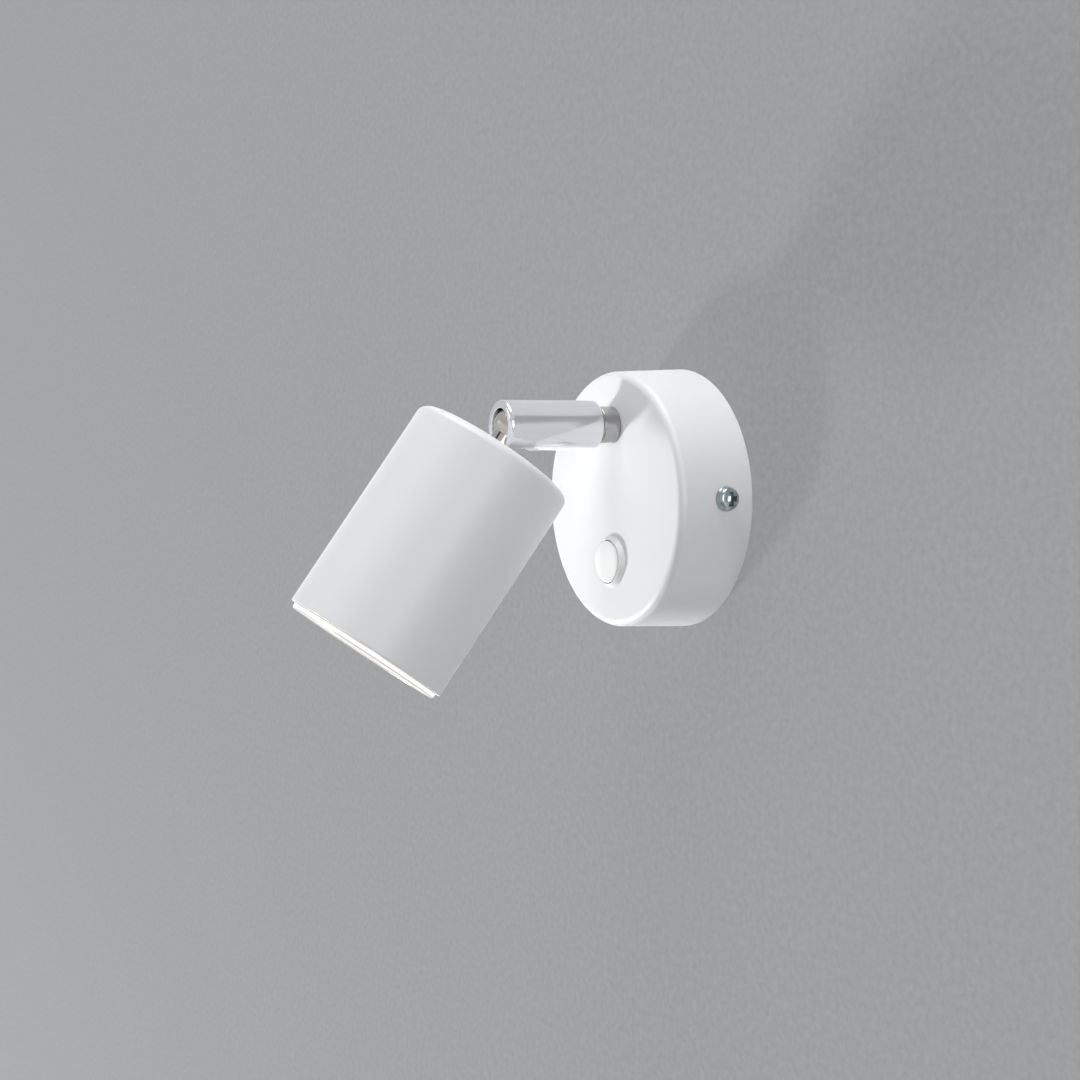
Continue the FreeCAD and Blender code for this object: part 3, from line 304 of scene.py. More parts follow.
def lit_rim(place):
    """Moulded glass rim of the lamp, glowing with the lamp's light where it stands out of the
    shade; painted shade darkens the strip where it enters the shade and its front bead."""
    finish = Finish("lit lamp rim")
    where = finish.stretched(place, (1.0, 1.0, 1.0))
    along = finish.make("ShaderNodeSeparateXYZ", {0: where}, output="Y")
    marks = finish.noise(0.9, detail=3.0, where=where)
    # Where the rim enters the shade its glow drops to a dark grey: painted shade of the gap between
    # rim and shade.
    front = 1.0 - finish.ramp(along, LAMP_FRONT + 1.3, LAMP_FRONT + 1.9)  # out of the shade
    # The front bead glows dimmer: painted shade on its rounding.
    bead = 1.0 - finish.ramp(along, LAMP_FRONT + 0.1, LAMP_FRONT + 0.45)
    # The first and last of these colours are painted shade (the gap into the shade, the front
    # bead); the middle one is the rim's glow.
    painted_gap_shade, filled, painted_bead_shade = tint(60, 60, 58), tint(232, 230, 224), tint(96, 95, 92)
    glow = finish.mix(front, painted_gap_shade, finish.mix(bead, filled, painted_bead_shade))
    return finish.set(Base_Color=finish.mix(marks, tint(170, 169, 166), tint(186, 185, 182)),
                      Roughness=0.18 + 0.14 * marks, Normal=finish.bump(marks, 0.004, 0.6),
                      Emission_Color=glow, Emission_Strength=1.0)


def lit_lens(place):
    """Frosted lens over the light source: brightest in the middle, with a fine moulded frost."""
    finish = Finish("lit frosted lens")
    where = finish.stretched(place, (1.0, 0.0, 1.0))
    away = finish.make("ShaderNodeVectorMath", {0: where}, output="Value", operation="LENGTH")
    fading_from, fading_to = 12.0, 24.0
    edge = finish.ramp(away, fading_from, fading_to)
    frost = finish.noise(0.35, detail=2.0)
    glow = finish.mix(edge, tint(148, 146, 141), tint(116, 114, 110))
    return finish.set(Base_Color=finish.mix(frost, tint(160, 159, 156), tint(172, 171, 168)),
                      Roughness=0.32 + 0.15 * frost, Normal=finish.bump(frost, 0.006, 0.6),
                      Emission_Color=glow, Emission_Strength=1.0)


WHITE = powder_coat()
CHROME = chrome_plate(ARM_PLACE)
NECK_NICKEL = satin_nickel("satin nickel, turned neck", NECK_PLACE, (0.35, 3.0, 0.35),
                           tint(168, 168, 169), tint(180, 179, 178), gloss=0.01)
KNUCKLE_NICKEL = satin_nickel("satin nickel, turned knuckle", HEAD_PLACE, (0.35, 3.0, 0.35),
                              tint(184, 179, 172), tint(200, 195, 188), gloss=0.16)
TONGUE_NICKEL = satin_nickel("satin nickel, milled tongue", ARM_PLACE, (1.0, 0.2, 1.0),
                             tint(176, 173, 168), tint(190, 187, 181), gloss=0.22)
ZINC = zinc_plate()
BRASS = plain_brass()
BEZEL_PLASTIC = moulded("switch bezel plastic", tint(232, 232, 232), tint(238, 238, 238),
                        gloss=0.24, texture_size=0.6, texture_depth=0.003)
BUTTON_PLASTIC = moulded("switch button plastic", tint(249, 249, 248), tint(252, 252, 251),
                         gloss=0.10, texture_size=1.6, texture_depth=0.002)
TERMINAL_PLASTIC = moulded("terminal block plastic", tint(236, 233, 222), tint(242, 240, 231),
                           gloss=0.46, texture_size=0.4, texture_depth=0.01)
LAMP_PLASTIC = moulded("lamp body plastic", tint(222, 222, 220), tint(230, 230, 228),
                       gloss=0.5, texture_size=0.5, texture_depth=0.012)
CERAMIC = unglazed_ceramic()
LAMP_RIM = lit_rim(HEAD_PLACE)
LENS = lit_lens(HEAD_PLACE)


# ---------------------------------------------------------------- outlines and meshes

def rounded(corners, closed=True, steps=7):
    """Outline with its corners rounded: each corner is (radius, y) or (radius, y, rounding).
    A loop close to each end of an arc keeps the flat beside it flat in the shading."""
    points = []
    count = len(corners)
    for number, corner in enumerate(corners):
        here = Vector(corner[:2])
        rounding = corner[2] if len(corner) > 2 else 0
        if not rounding:
            points.append(here)
            continue
        before = (Vector(corners[number - 1][:2]) - here).normalized()
        after = (Vector(corners[(number + 1) % count][:2]) - here).normalized()
        half = before.angle(after) / 2
        centre = here + (before + after).normalized() * rounding / math.sin(half)
        start = here + before * rounding / math.tan(half)
        end = here + after * rounding / math.tan(half)
        points.append(start + before * SUPPORT)
        points += arc(centre, start, end, steps)
        points.append(end + after * SUPPORT)
    return points + points[:1] if closed else points


def arc(centre, start, end, steps):
    """Points of the short arc from start to end about a centre."""
    first = math.atan2(start.y - centre.y, start.x - centre.x)
    last = math.atan2(end.y - centre.y, end.x - centre.x)
    sweep = (last - first + math.pi) % math.tau - math.pi
    radius = (start - centre).length
    return [centre + Vector((math.cos(first + sweep * step / steps),
                             math.sin(first + sweep * step / steps))) * radius
            for step in range(steps + 1)]


def dome(rim_radius, rim_y, height, steps):
    """Points of a shallow dome from its apex on the axis to its rim; it bulges towards -Y."""
    radius = (rim_radius ** 2 + height ** 2) / (2 * height)
    centre = Vector((0, rim_y - height + radius))
    return arc(centre, Vector((0, rim_y - height)), Vector((rim_radius, rim_y)), steps)


class Tree:
    """A geometry node tree under construction; its first input is the mesh it works on."""

    def __init__(self, name, **inputs):
        self.tree = bpy.data.node_groups.new(name, "GeometryNodeTree")
        interface = self.tree.interface
        for socket, kind in inputs.items():
            interface.new_socket(socket, in_out="INPUT", socket_type="NodeSocket" + kind)
        interface.new_socket("Result", in_out="OUTPUT", socket_type="NodeSocketGeometry")
        self.entry = self.make("NodeGroupInput")

    def make(self, kind, inputs=None, output=0, **settings):
        return Signal.make(self.tree, kind, inputs, output, **settings)

    def copies(self, points, spin):
        """A copy of the first input on each point, turned by its spin."""
        return self.make("GeometryNodeInstanceOnPoints", {
            "Points": points, "Instance": self.entry,
            "Rotation": self.make("FunctionNodeEulerToRotation", {0: spin})})

    def end(self, shape):
        """Make the shape real, give it the material and close the tree."""
        shape = self.make("GeometryNodeRealizeInstances", {"Geometry": shape})
        shape = self.make("GeometryNodeSetMaterial", {
            "Geometry": shape, "Material": self.entry.other("Material")})
        way_out = self.tree.nodes.new("NodeGroupOutput")
        self.tree.links.new(shape.socket, way_out.inputs["Result"])
        return self.tree


def lathe_tree():
    """Geometry nodes that turn an outline into a solid of revolution about the Y axis.
    The outline is a row of points, x being the radius."""
    work = Tree("turn about y", Outline="Geometry", Segments="Int", Material="Material")
    segments = work.entry.other("Segments")
    rows = work.make("GeometryNodeAttributeDomainSize", {"Geometry": work.entry}, "Point Count")
    grid = work.make("GeometryNodeMeshGrid", {"Vertices X": segments + 1, "Vertices Y": rows})
    index = work.make("GeometryNodeInputIndex")
    outline_point = work.make("GeometryNodeSampleIndex", {
        "Geometry": work.entry, "Value": work.make("GeometryNodeInputPosition"),
        "Index": index % rows}, data_type="FLOAT_VECTOR")
    parts = work.make("ShaderNodeSeparateXYZ", {0: outline_point})
    angle = (index / rows).function("FLOOR") / segments * math.tau
    place = work.make("ShaderNodeCombineXYZ", {
        "X": parts * angle.function("COSINE"), "Y": parts.other("Y"),
        "Z": parts * angle.function("SINE")})
    shape = work.make("GeometryNodeSetPosition", {"Geometry": grid, "Position": place})
    return work.end(work.make("GeometryNodeMergeByDistance", {
        "Geometry": shape, "Distance": SAME_POINT}))


def repeat_tree():
    """Geometry nodes that set copies of a piece in a grid of columns along X and rows along Z.
    Each next column is turned about Z by the turn."""
    work = Tree("set out copies", Piece="Geometry", Columns="Int", Rows="Int", Across="Float",
                Up="Float", Turn="Float", Material="Material")
    columns, rows = work.entry.other("Columns"), work.entry.other("Rows")
    index = work.make("GeometryNodeInputIndex")
    column = (index / rows).function("FLOOR")
    row = index % rows
    place = work.make("ShaderNodeCombineXYZ", {
        "X": (column - (columns - 1) * 0.5) * work.entry.other("Across"),
        "Z": (row - (rows - 1) * 0.5) * work.entry.other("Up")})
    points = work.make("GeometryNodeSetPosition", {
        "Geometry": work.make("GeometryNodePoints", {"Count": columns * rows}),
        "Position": place})
    spin = work.make("ShaderNodeCombineXYZ", {"Z": column * work.entry.other("Turn")})
    return work.end(work.copies(points, spin))


def ring_tree():
    """Geometry nodes that set copies of a piece in a ring about the Y axis."""
    work = Tree("set out in a ring", Piece="Geometry", Count="Int", Material="Material")
    count = work.entry.other("Count")
    points = work.make("GeometryNodePoints", {"Count": count})
    angle = work.make("GeometryNodeInputIndex") / count * math.tau
    return work.end(work.copies(points, work.make("ShaderNodeCombineXYZ", {"Y": angle})))


LATHE = lathe_tree()
REPEAT = repeat_tree()
RING = ring_tree()


def evaluated(thing):
    """The object's mesh with its modifiers applied; the object itself is deleted."""
    graph = bpy.context.evaluated_depsgraph_get()
    mesh = bpy.data.meshes.new_from_object(thing.evaluated_get(graph))
    bpy.data.objects.remove(thing)
    return mesh


def stand_in(mesh, name="work piece"):
    """Object that holds a mesh while it is worked on."""
    thing = bpy.data.objects.new(name, mesh)
    bpy.context.collection.objects.link(thing)
    return thing


def through_tree(mesh, tree, **values):
    """Run a mesh through a node tree with its named inputs set."""
    thing = stand_in(mesh)
    modifier = thing.modifiers.new(tree.name, "NODES")
    modifier.node_group = tree
    for item in tree.interface.items_tree:
        if item.in_out == "INPUT" and item.name in values:
            modifier[item.identifier] = values[item.name]
    return evaluated(thing)


def turned(outline, material, segments):
    """Mesh of an outline of millimetre points turned about the Y axis."""
    profile = bpy.data.meshes.new("outline")
    profile.from_pydata([(point[0] * MM, point[1] * MM, 0) for point in outline], [], [])
    return faced_outwards(through_tree(profile, LATHE, Segments=segments, Material=material))


def faced_outwards(mesh):
    """Turn a closed mesh the right way out."""
    work = bmesh.new()
    work.from_mesh(mesh)
    if work.calc_volume(signed=True) < 0:
        bmesh.ops.reverse_faces(work, faces=work.faces)
    work.to_mesh(mesh)
    work.free()
    return mesh


def box(low, high, material=None, rounding=0.0, steps=2):
    """Box mesh between two corners in millimetres, with its edges rounded."""
    work = bmesh.new()
    bmesh.ops.create_cube(work, size=1.0)
    middle = (Vector(low) + Vector(high)) / 2
    size = Vector(high) - Vector(low)
    for vert in work.verts:
        vert.co = Vector(value * extent + centre
                         for value, extent, centre in zip(vert.co, size, middle)) * MM
    if rounding:
        bmesh.ops.bevel(work, geom=work.edges[:], offset=rounding * MM, segments=steps,
                        affect="EDGES", profile=0.5)
    mesh = bpy.data.meshes.new("box")
    work.to_mesh(mesh)
    work.free()
    if material:
        mesh.materials.append(material)
    return mesh


def swept(corners, along):
    """Mesh of a flat outline of corners in millimetres, swept along a vector."""
    work = bmesh.new()
    face = work.faces.new([work.verts.new(tuple(value * MM for value in corner))
                           for corner in corners])
    far = bmesh.ops.extrude_face_region(work, geom=[face])["geom"]
    bmesh.ops.translate(work, vec=tuple(value * MM for value in along),
                        verts=[item for item in far if isinstance(item, bmesh.types.BMVert)])
    bmesh.ops.recalc_face_normals(work, faces=work.faces)
    mesh = bpy.data.meshes.new("prism")
    work.to_mesh(mesh)
    work.free()
    return mesh


def prism(outline, low, high):
    """Mesh of an outline of (x, z) millimetre points, swept along Y."""
    return swept([(x, low, z) for x, z in outline], (0, high - low, 0))


def moved(mesh, place):
    """The mesh moved by a matrix in millimetres."""
    shift = place.copy()
    shift.translation *= MM
    mesh.transform(shift)
    return mesh


def cut(mesh, tools, operation="DIFFERENCE"):
    """The mesh with the tool meshes taken out of it, or cut down to what it shares with them."""
    thing = stand_in(mesh)
    helpers = []
    for tool in tools:
        helper = stand_in(tool, "tool")
        modifier = thing.modifiers.new("cut", "BOOLEAN")
        modifier.operation = operation
        modifier.solver = "EXACT"
        modifier.object = helper
        helpers.append(helper)
    result = evaluated(thing)
    for helper in helpers:
        bpy.data.objects.remove(helper)
    return result


def joined(meshes):
    """Several meshes as one, each keeping its material."""
    work = bmesh.new()
    materials = []
    for mesh in meshes:
        for material in mesh.materials:
            if material not in materials:
                materials.append(material)
    for mesh in meshes:
        start = len(work.faces)
        work.from_mesh(mesh)
        work.faces.ensure_lookup_table()
        for face in work.faces[start:]:
            if mesh.materials:
                face.material_index = materials.index(mesh.materials[face.material_index])
    result = bpy.data.meshes.new("joined")
    work.to_mesh(result)
    work.free()
    for material in materials:
        result.materials.append(material)
    return result


def piece(name, mesh, place, body, nodes, material=None):
    """Finished piece: shading set, place put into the mesh, riding on its body."""
    moved(mesh, place)
    if material:
        mesh.materials.clear()
        mesh.materials.append(material)
        for face in mesh.polygons:
            face.material_index = 0
    mesh.shade_smooth()
    mesh.set_sharp_from_angle(angle=SMOOTH_ANGLE)
    thing = stand_in(mesh, name)
    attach(thing, body)
    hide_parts(*nodes)


# ---------------------------------------------------------------- small hardware

def pan_head_screw(head_radius, head_height, shank_radius, shank_length, cross):
    """Pan-head screw with a cross recess and a thread; head towards -Y, seat at y = 0."""
    crown, crown_y, crown_rise = head_radius * 0.62, -head_height * 0.93, head_height * 0.07
    shoulder_y, brim_y, edge = -head_height * 0.5, -head_height * 0.42, 0.12
    run_in, run_out, pitch = 0.3, 0.6, 0.7
    outline = dome(crown, crown_y, crown_rise, 5)
    outline += arc(Vector((crown, shoulder_y)), Vector((crown, crown_y)),
                   Vector((head_radius, brim_y)), 8)[1:]
    outline += [(head_radius, -edge), (head_radius - edge, 0.0), (shank_radius, 0.0)]
    outline += thread(shank_radius, run_in, shank_length - run_out, pitch)
    outline += [(shank_radius * 0.7, shank_length), (0, shank_length)]
    return cut(turned(outline, ZINC, 48), cross_recess(head_height, cross))


def cross_recess(head_height, cross):
    """Two crossed blades, narrower inside the head, that cut its recess."""
    half, half_slot, narrowing = cross / 2, cross * 0.34 / 2, 0.62
    outline = [(-half, -half_slot), (half, -half_slot), (half, half_slot), (-half, half_slot)]
    blades = []
    for angle in (0, math.pi / 2):
        blade = prism(outline, -head_height * 1.3, -head_height + head_height * 1.05)
        for vert in blade.vertices:
            if vert.co.y > -head_height * MM:
                vert.co.x *= narrowing
        blades.append(moved(blade, Matrix.Rotation(angle, 4, "Y")))
    return blades


def thread(radius, start, end, pitch, depth=0.18):
    """Outline points of a thread's ridges from start to end along +Y."""
    turns = max(1, round((end - start) / pitch))
    step = (end - start) / turns
    points = []
    for number in range(turns):
        foot = start + step * number
        points += [(radius - depth, foot), (radius, foot + step * 0.45),
                   (radius, foot + step * 0.55)]
    return points + [(radius - depth, end)]


def hex_nut(flats, height, bore, near):
    """Hexagonal nut with bevelled corners and a countersunk bore, from y = near towards -Y."""
    reach, far = flats / math.sqrt(3), near - height
    bevel = (reach - flats / 2) * 0.62
    face, over = flats / 2 * 0.97, reach * 1.01
    corners = [(reach * math.cos(math.tau * side / 6), reach * math.sin(math.tau * side / 6))
               for side in range(6)]
    envelope = turned([(0, near), (face, near), (over, near - bevel), (over, far + bevel),
                       (face, far), (0, far)], ZINC, 96)
    body = cut(prism(corners, far, near), [envelope], "INTERSECT")
    play, sink, past = 0.05, 0.4, 1
    hole = [(0, near + past), (bore + sink, near + past), (bore + sink, near),
            (bore + play, near - sink), (bore + play, far + sink), (bore + sink, far),
            (bore + sink, far - past), (0, far - past)]
    return cut(body, [turned(hole, ZINC, 64)])


def flat_ring(inner, outer, near, thickness):
    """Washer from y = near towards -Y, with its outer edges broken."""
    far, edge = near - thickness, 0.12
    return turned(rounded([(inner, near), (outer, near, edge), (outer, far, edge), (inner, far)],
                          steps=3), ZINC, 96)


def drill(radius, low, high, segments=64):
    """Cylinder along Y for a round hole."""
    return turned([(0, low), (radius, low), (radius, high), (0, high)], WHITE, segments)


# ---------------------------------------------------------------- base

def make_base_cup():
    """White cup of the base, with its holes for the neck, the switch and the side screws."""
    inside = COVER_FRONT_RADIUS - COVER_WALL
    front_rounding, lip_rounding, inner_rounding = 2.6, 0.35, 1.1
    cup = turned(rounded([
        (0, -COVER_DEPTH),
        (COVER_FRONT_RADIUS, -COVER_DEPTH, front_rounding),
        (COVER_RADIUS, 0, lip_rounding),
        (COVER_RADIUS - COVER_WALL, 0, lip_rounding),
        (inside, COVER_INSIDE, inner_rounding),
        (0, COVER_INSIDE),
    ], closed=False, steps=14), WHITE, 256)
    outside, within, across = -COVER_DEPTH - 1, -COVER_DEPTH + 4, COVER_RADIUS + 7.5
    switch_hole, side_screw_hole = 8.0, 2.2
    holes = [
        moved(drill(NECK_HOLE, outside, within), NECK_PLACE),
        moved(drill(switch_hole, outside, within), SWITCH_PLACE),
        moved(drill(side_screw_hole, -across, across), SIDE_SCREW_PLACE @ CROSSWISE),
    ]
    piece("base_cup", cut(cup, holes), WORLD_PLACE, "base",
          ["base_cover"], WHITE)


def make_side_screws():
    """The two side screws, set out head outwards on either side of the cup."""
    head, gap = 4.0, 0.05
    screw = pan_head_screw(head, head_height=2.5, shank_radius=2.0, shank_length=8.0, cross=5.0)
    moved(screw, Matrix.Rotation(math.radians(-90), 4, "Z"))
    inner_edge = SIDE_SCREW_DEPTH - head
    taper = COVER_RADIUS - COVER_FRONT_RADIUS
    seat = COVER_RADIUS - taper * inner_edge / COVER_DEPTH + gap
    pair = through_tree(screw, REPEAT, Columns=2, Rows=1, Across=2 * seat * MM, Up=0.0,
                        Turn=math.pi, Material=ZINC)
    piece("side_screws", pair, SIDE_SCREW_PLACE, "base", ["cover_screws"], ZINC)


def make_switch():
    """Bevelled bezel with its barrel and rear case, the nut behind it, and the domed button."""
    front = -COVER_DEPTH - 1.7
    barrel_end = -COVER_DEPTH + 13.0
    rear = barrel_end + 5.0
    foot, face, bore, barrel, case, guide = 8.5, 7.5, 7.1, 7.8, 6.2, 2.28
    bore_end, guide_end, edge = -22.5, -15.5, 0.15
    bezel = [
        (bore, front, edge), (face, front, edge), (foot, -COVER_DEPTH - 0.25, edge),
        (foot, -COVER_DEPTH), (barrel, -COVER_DEPTH),
        *thread(barrel, -COVER_DEPTH + 1.6, barrel_end - 0.5, pitch=1.0, depth=0.25),
        (barrel - 0.4, barrel_end), (case, barrel_end), (case, rear, 0.4), (0, rear),
        (0, guide_end), (guide, guide_end), (guide, bore_end), (bore, bore_end),
    ]
    housing = turned(rounded(bezel, steps=4), BEZEL_PLASTIC, 128)
    piece("switch_bezel", joined([housing] + contact_blades(rear)), SWITCH_PLACE, "base",
          ["switch_housing"])
    nut = hex_nut(flats=19.0, height=2.5, bore=7.85, near=COVER_INSIDE + 2.5)
    piece("switch_ring_nut", nut, SWITCH_PLACE, "base", ["switch_nut"], ZINC)
    rim = front - 0.5
    cap_radius, hollow, stem, stem_end = 6.80, 5.6, 2.2, -18.7
    cap = dome(6.55, rim + 0.02, 0.66, 14)
    cap += [(6.72, rim + 0.10), (cap_radius, rim + 0.28), (cap_radius, rim + 4.0),
            (hollow, rim + 4.0), (hollow, rim + 1.2), (stem, rim + 1.2),
            (stem, stem_end - 0.2), (stem - 0.2, stem_end), (0, stem_end)]
    piece("push_button", turned(cap, BUTTON_PLASTIC, 128), SWITCH_PLACE, "button",
          ["switch_button"], BUTTON_PLASTIC)


def contact_blades(rear):
    """The switch's two brass blades, each with an eye for its lead."""
    offset, half_thickness, half_width, sunk, reach = 3.5, 0.4, 2.4, 1.5, 3.5
    eye_radius, eye_depth = 0.8, 1.9
    eye = moved(drill(eye_radius, -THROUGH, THROUGH, 24),
                Matrix.Translation((0, rear + eye_depth, 0)) @ CROSSWISE)
    blades = []
    for middle in (-offset, offset):
        blade = box((middle - half_thickness, rear - sunk, -half_width),
                    (middle + half_thickness, rear + reach, half_width), BRASS, rounding=0.15)
        blade = cut(blade, [eye.copy()])
        blade.materials.clear()
        blade.materials.append(BRASS)
        blades.append(blade)
    return blades


def make_neck():
    """Turned neck with an undercut foot, its threaded stud, washer and nut inside the cup."""
    stud_end = COVER_INSIDE + 9.5
    spigot_end = SLEEVE_FLOOR - 4.9
    foot, shoulder = -COVER_DEPTH - 0.3, SLEEVE_START + 0.1
    undercut, stud, root, spigot, wire_way, edge = 5.9, 4.5, 4.2, 3.0, 1.8, 0.12
    collar = [
        (wire_way, stud_end), (root, stud_end),
        *reversed(thread(stud, -COVER_DEPTH + 0.6, stud_end - 0.4, pitch=1.0, depth=0.3)),
        (root, -COVER_DEPTH), (undercut, -COVER_DEPTH), (undercut, foot),
        (NECK_RADIUS, foot, edge), (NECK_RADIUS, shoulder, edge),
        (spigot, shoulder), (spigot, spigot_end, 0.2), (wire_way, spigot_end),
    ]
    piece("neck", turned(rounded(collar, steps=4), NECK_NICKEL, 128), NECK_PLACE, "base",
          ["neck_collar"], NECK_NICKEL)
    washer, washer_radius = 0.8, 7.0
    washer_top = COVER_INSIDE + washer
    root, tip, half_root, half_tip = 6.9, 7.8, 0.55, 0.3
    tooth = prism([(root, -half_root), (tip, -half_tip), (tip, half_tip), (root, half_root)],
                  COVER_INSIDE, washer_top)
    teeth = through_tree(tooth, RING, Count=16, Material=ZINC)
    ring = flat_ring(NECK_HOLE, washer_radius, washer_top, washer)
    piece("toothed_washer", joined([ring, teeth]), NECK_PLACE, "base",
          ["neck_washer"], ZINC)
    nut = hex_nut(flats=13.0, height=3.0, bore=4.55, near=COVER_INSIDE + 3.8)
    piece("neck_hex_nut", nut, NECK_PLACE, "base", ["neck_nut"], ZINC)


def make_terminals():
    """Three-pole terminal block grooved between its poles, its clamping and fixing screws."""
    half_width, half_height, wire_depth = 12.5, 5.5, 4.5
    wire_way, clamp_hole, fixing_hole = 1.8, 1.55, 1.3
    half_groove, groove_depth, past, beyond = 0.35, 1.2, 1, 6
    block = box((-half_width, -BLOCK_DEPTH, -half_height), (half_width, 0, half_height),
                TERMINAL_PLASTIC, rounding=0.8, steps=3)
    tools = []
    for across in (-POLE_PITCH, 0, POLE_PITCH):
        tools.append(moved(drill(wire_way, -THROUGH, THROUGH, 40),
                           Matrix.Translation((across, -wire_depth, 0)) @ UPRIGHT))
        for row in (-CLAMP_ROW, CLAMP_ROW):
            tools.append(moved(drill(clamp_hole, -BLOCK_DEPTH - past, -wire_depth, 40),
                               Matrix.Translation((across, 0, row))))
    between = POLE_PITCH / 2
    tools.append(moved(drill(fixing_hole, -THROUGH, THROUGH, 32),
                       Matrix.Translation((between, 0, 0))))
    for across in (-between, between):
        tools.append(box((across - half_groove, -BLOCK_DEPTH - past, -beyond),
                         (across + half_groove, -BLOCK_DEPTH + groove_depth, beyond)))
    place = Matrix.Translation((0, -PLATE_THICKNESS, BLOCK_RISE))
    piece("terminal_block_body", cut(block, tools), place, "base",
          ["terminal_block"], TERMINAL_PLASTIC)
    radius, length, point, half_slot, slot_depth, sunk = 1.5, 4.0, 1.2, 0.22, 0.7, 0.4
    grub = turned(rounded([(0, 0), (radius, 0, 0.2),
                           *thread(radius, 0.5, 3.6, pitch=0.5, depth=0.12),
                           (point, length), (0, length)], closed=False, steps=3), ZINC, 32)
    grub = cut(grub, [box((-2, -past, -half_slot), (2, slot_depth, half_slot))])
    screws = through_tree(grub, REPEAT, Columns=3, Rows=2, Across=POLE_PITCH * MM,
                          Up=2 * CLAMP_ROW * MM, Turn=0.0, Material=ZINC)
    piece("clamping_screws", screws, place @ Matrix.Translation((0, -BLOCK_DEPTH + sunk, 0)),
          "base", ["terminal_screws"], ZINC)
    fixing = pan_head_screw(head_radius=2.2, head_height=1.6, shank_radius=1.25,
                            shank_length=12.9, cross=2.6)
    piece("block_fixing_screw", fixing, place @ Matrix.Translation((between, -BLOCK_DEPTH, 0)),
          "base", ["terminal_fixing"], ZINC)


def make_earth_terminal():
    """Earth screw over its washer on the plate."""
    washer, across, rise = 0.8, -20.0, -13.0
    screw = pan_head_screw(head_radius=3.5, head_height=2.4, shank_radius=2.0,
                           shank_length=2.25, cross=3.6)
    moved(screw, Matrix.Translation((0, -washer, 0)))
    ring = flat_ring(inner=2.0, outer=4.5, near=0, thickness=washer)
    place = Matrix.Translation((across, -PLATE_THICKNESS, rise))
    piece("earth_terminal", joined([screw, ring]), place, "base", ["earth_screw"], BRASS)


# ---------------------------------------------------------------- arm

def make_arm():
    """Chrome tube with its floor, rounded mouth and notch."""
    radius, bore, floor_bore, lip_bore, lip_end = 8.0, 6.2, 3.06, 5.4, SLEEVE_END + 1.5
    bevel, mouth_rounding = 2.0, 1.2
    loops = (-45.0, -55.0)  # loops that keep the tube's straight part even in the shading
    tube = turned(rounded([
        (floor_bore, SLEEVE_START), (NECK_RADIUS, SLEEVE_START, 0.15),
        (radius, SLEEVE_START - bevel, 0.35), *((radius, loop) for loop in loops),
        (radius, SLEEVE_END, mouth_rounding), (lip_bore, SLEEVE_END, 0.4), (lip_bore, lip_end),
        (bore, lip_end), (bore, SLEEVE_FLOOR), (floor_bore, SLEEVE_FLOOR),
    ], steps=12), CHROME, 256)
    half_notch, notch_length, below, stop_hole, stop_offset = 4.25, 11.0, 9, 0.58, 4.75
    tools = [
        box((-half_notch, SLEEVE_END - 3, -below), (half_notch, SLEEVE_END + notch_length, 0)),
        moved(drill(stop_hole, SLEEVE_FLOOR - 0.5, SLEEVE_FLOOR + 2.0, 24),
              Matrix.Translation((0, 0, stop_offset))),
    ]
    piece("arm_tube", cut(tube, tools), ARM_PLACE, "arm", ["arm_sleeve"], CHROME)


# ---------------------------------------------------------------- head

def make_knuckle():
    """Ball pocketed for the tongue, on a stem with a seam beside each cheek and a threaded foot."""
    ball, stem, cheek, seam, reach, past = 5.9, 4.0, 2.3, 0.6, 4.3, 6.1
    middle = Vector((0, 0))
    shoulder = -math.sqrt(ball ** 2 - stem ** 2)
    outline = arc(middle, Vector((0, ball)), Vector((ball, 0)), 18)
    outline += arc(middle, Vector((ball, 0)), Vector((stem, shoulder)), 12)[1:]
    foot, foot_tip, foot_end = 3.0, 2.6, SHADE_REAR - 7.2
    outline += [(stem, shoulder - 0.02), (stem, SHADE_REAR + 0.3), (stem - 0.25, SHADE_REAR),
                (foot, SHADE_REAR)]
    outline += [(radius, -y) for radius, y in thread(
        foot, -SHADE_REAR + 0.3, -SHADE_REAR + 6.9, pitch=0.8, depth=0.2)]
    outline += [(foot_tip, foot_end), (0, foot_end)]
    pocket = [(0, reach), (past, reach), (past, -past), (-reach, -past)]
    pocket += arc(middle, Vector((-reach, 0)), Vector((0, reach)), 12)[:-1]
    seam_end, wire_way, pin_hole, beyond = SHADE_REAR + 0.8, 1.4, 1.5, 8
    tools = [
        moved(prism(pocket, -cheek, cheek), CROSSWISE),
        box((cheek - seam, seam_end, -6), (cheek, -reach, 6)),
        box((-cheek, seam_end, -6), (seam - cheek, -reach, 6)),
        drill(wire_way, -THROUGH, 0, 32),
        moved(drill(pin_hole, -beyond, beyond, 32), CROSSWISE),
    ]
    knuckle = cut(turned(outline, KNUCKLE_NICKEL, 128), tools)
    piece("ball_knuckle", knuckle, HEAD_PLACE, "head", ["knuckle"],
          KNUCKLE_NICKEL)


def make_shade():
    """White cylinder with a rounded rear edge and a thin rounded rim."""
    inside, stem_hole = SHADE_RADIUS - SHADE_WALL, 3.2
    rear_rounding, inner_rounding, rim_rounding = 2.8, 1.8, 0.4
    loop = SHADE_FRONT + 30  # keeps the straight part even in the shading
    shell = turned(rounded([
        (stem_hole, SHADE_REAR),
        (SHADE_RADIUS, SHADE_REAR, rear_rounding),
        (SHADE_RADIUS, loop), (SHADE_RADIUS, SHADE_FRONT, rim_rounding),
        (inside, SHADE_FRONT, rim_rounding),
        (inside, SHADE_REAR - SHADE_WALL, inner_rounding),
        (stem_hole, SHADE_REAR - SHADE_WALL),
    ], steps=14), WHITE, 256)
    piece("shade_shell", shell, HEAD_PLACE, "head", ["shade"], WHITE)


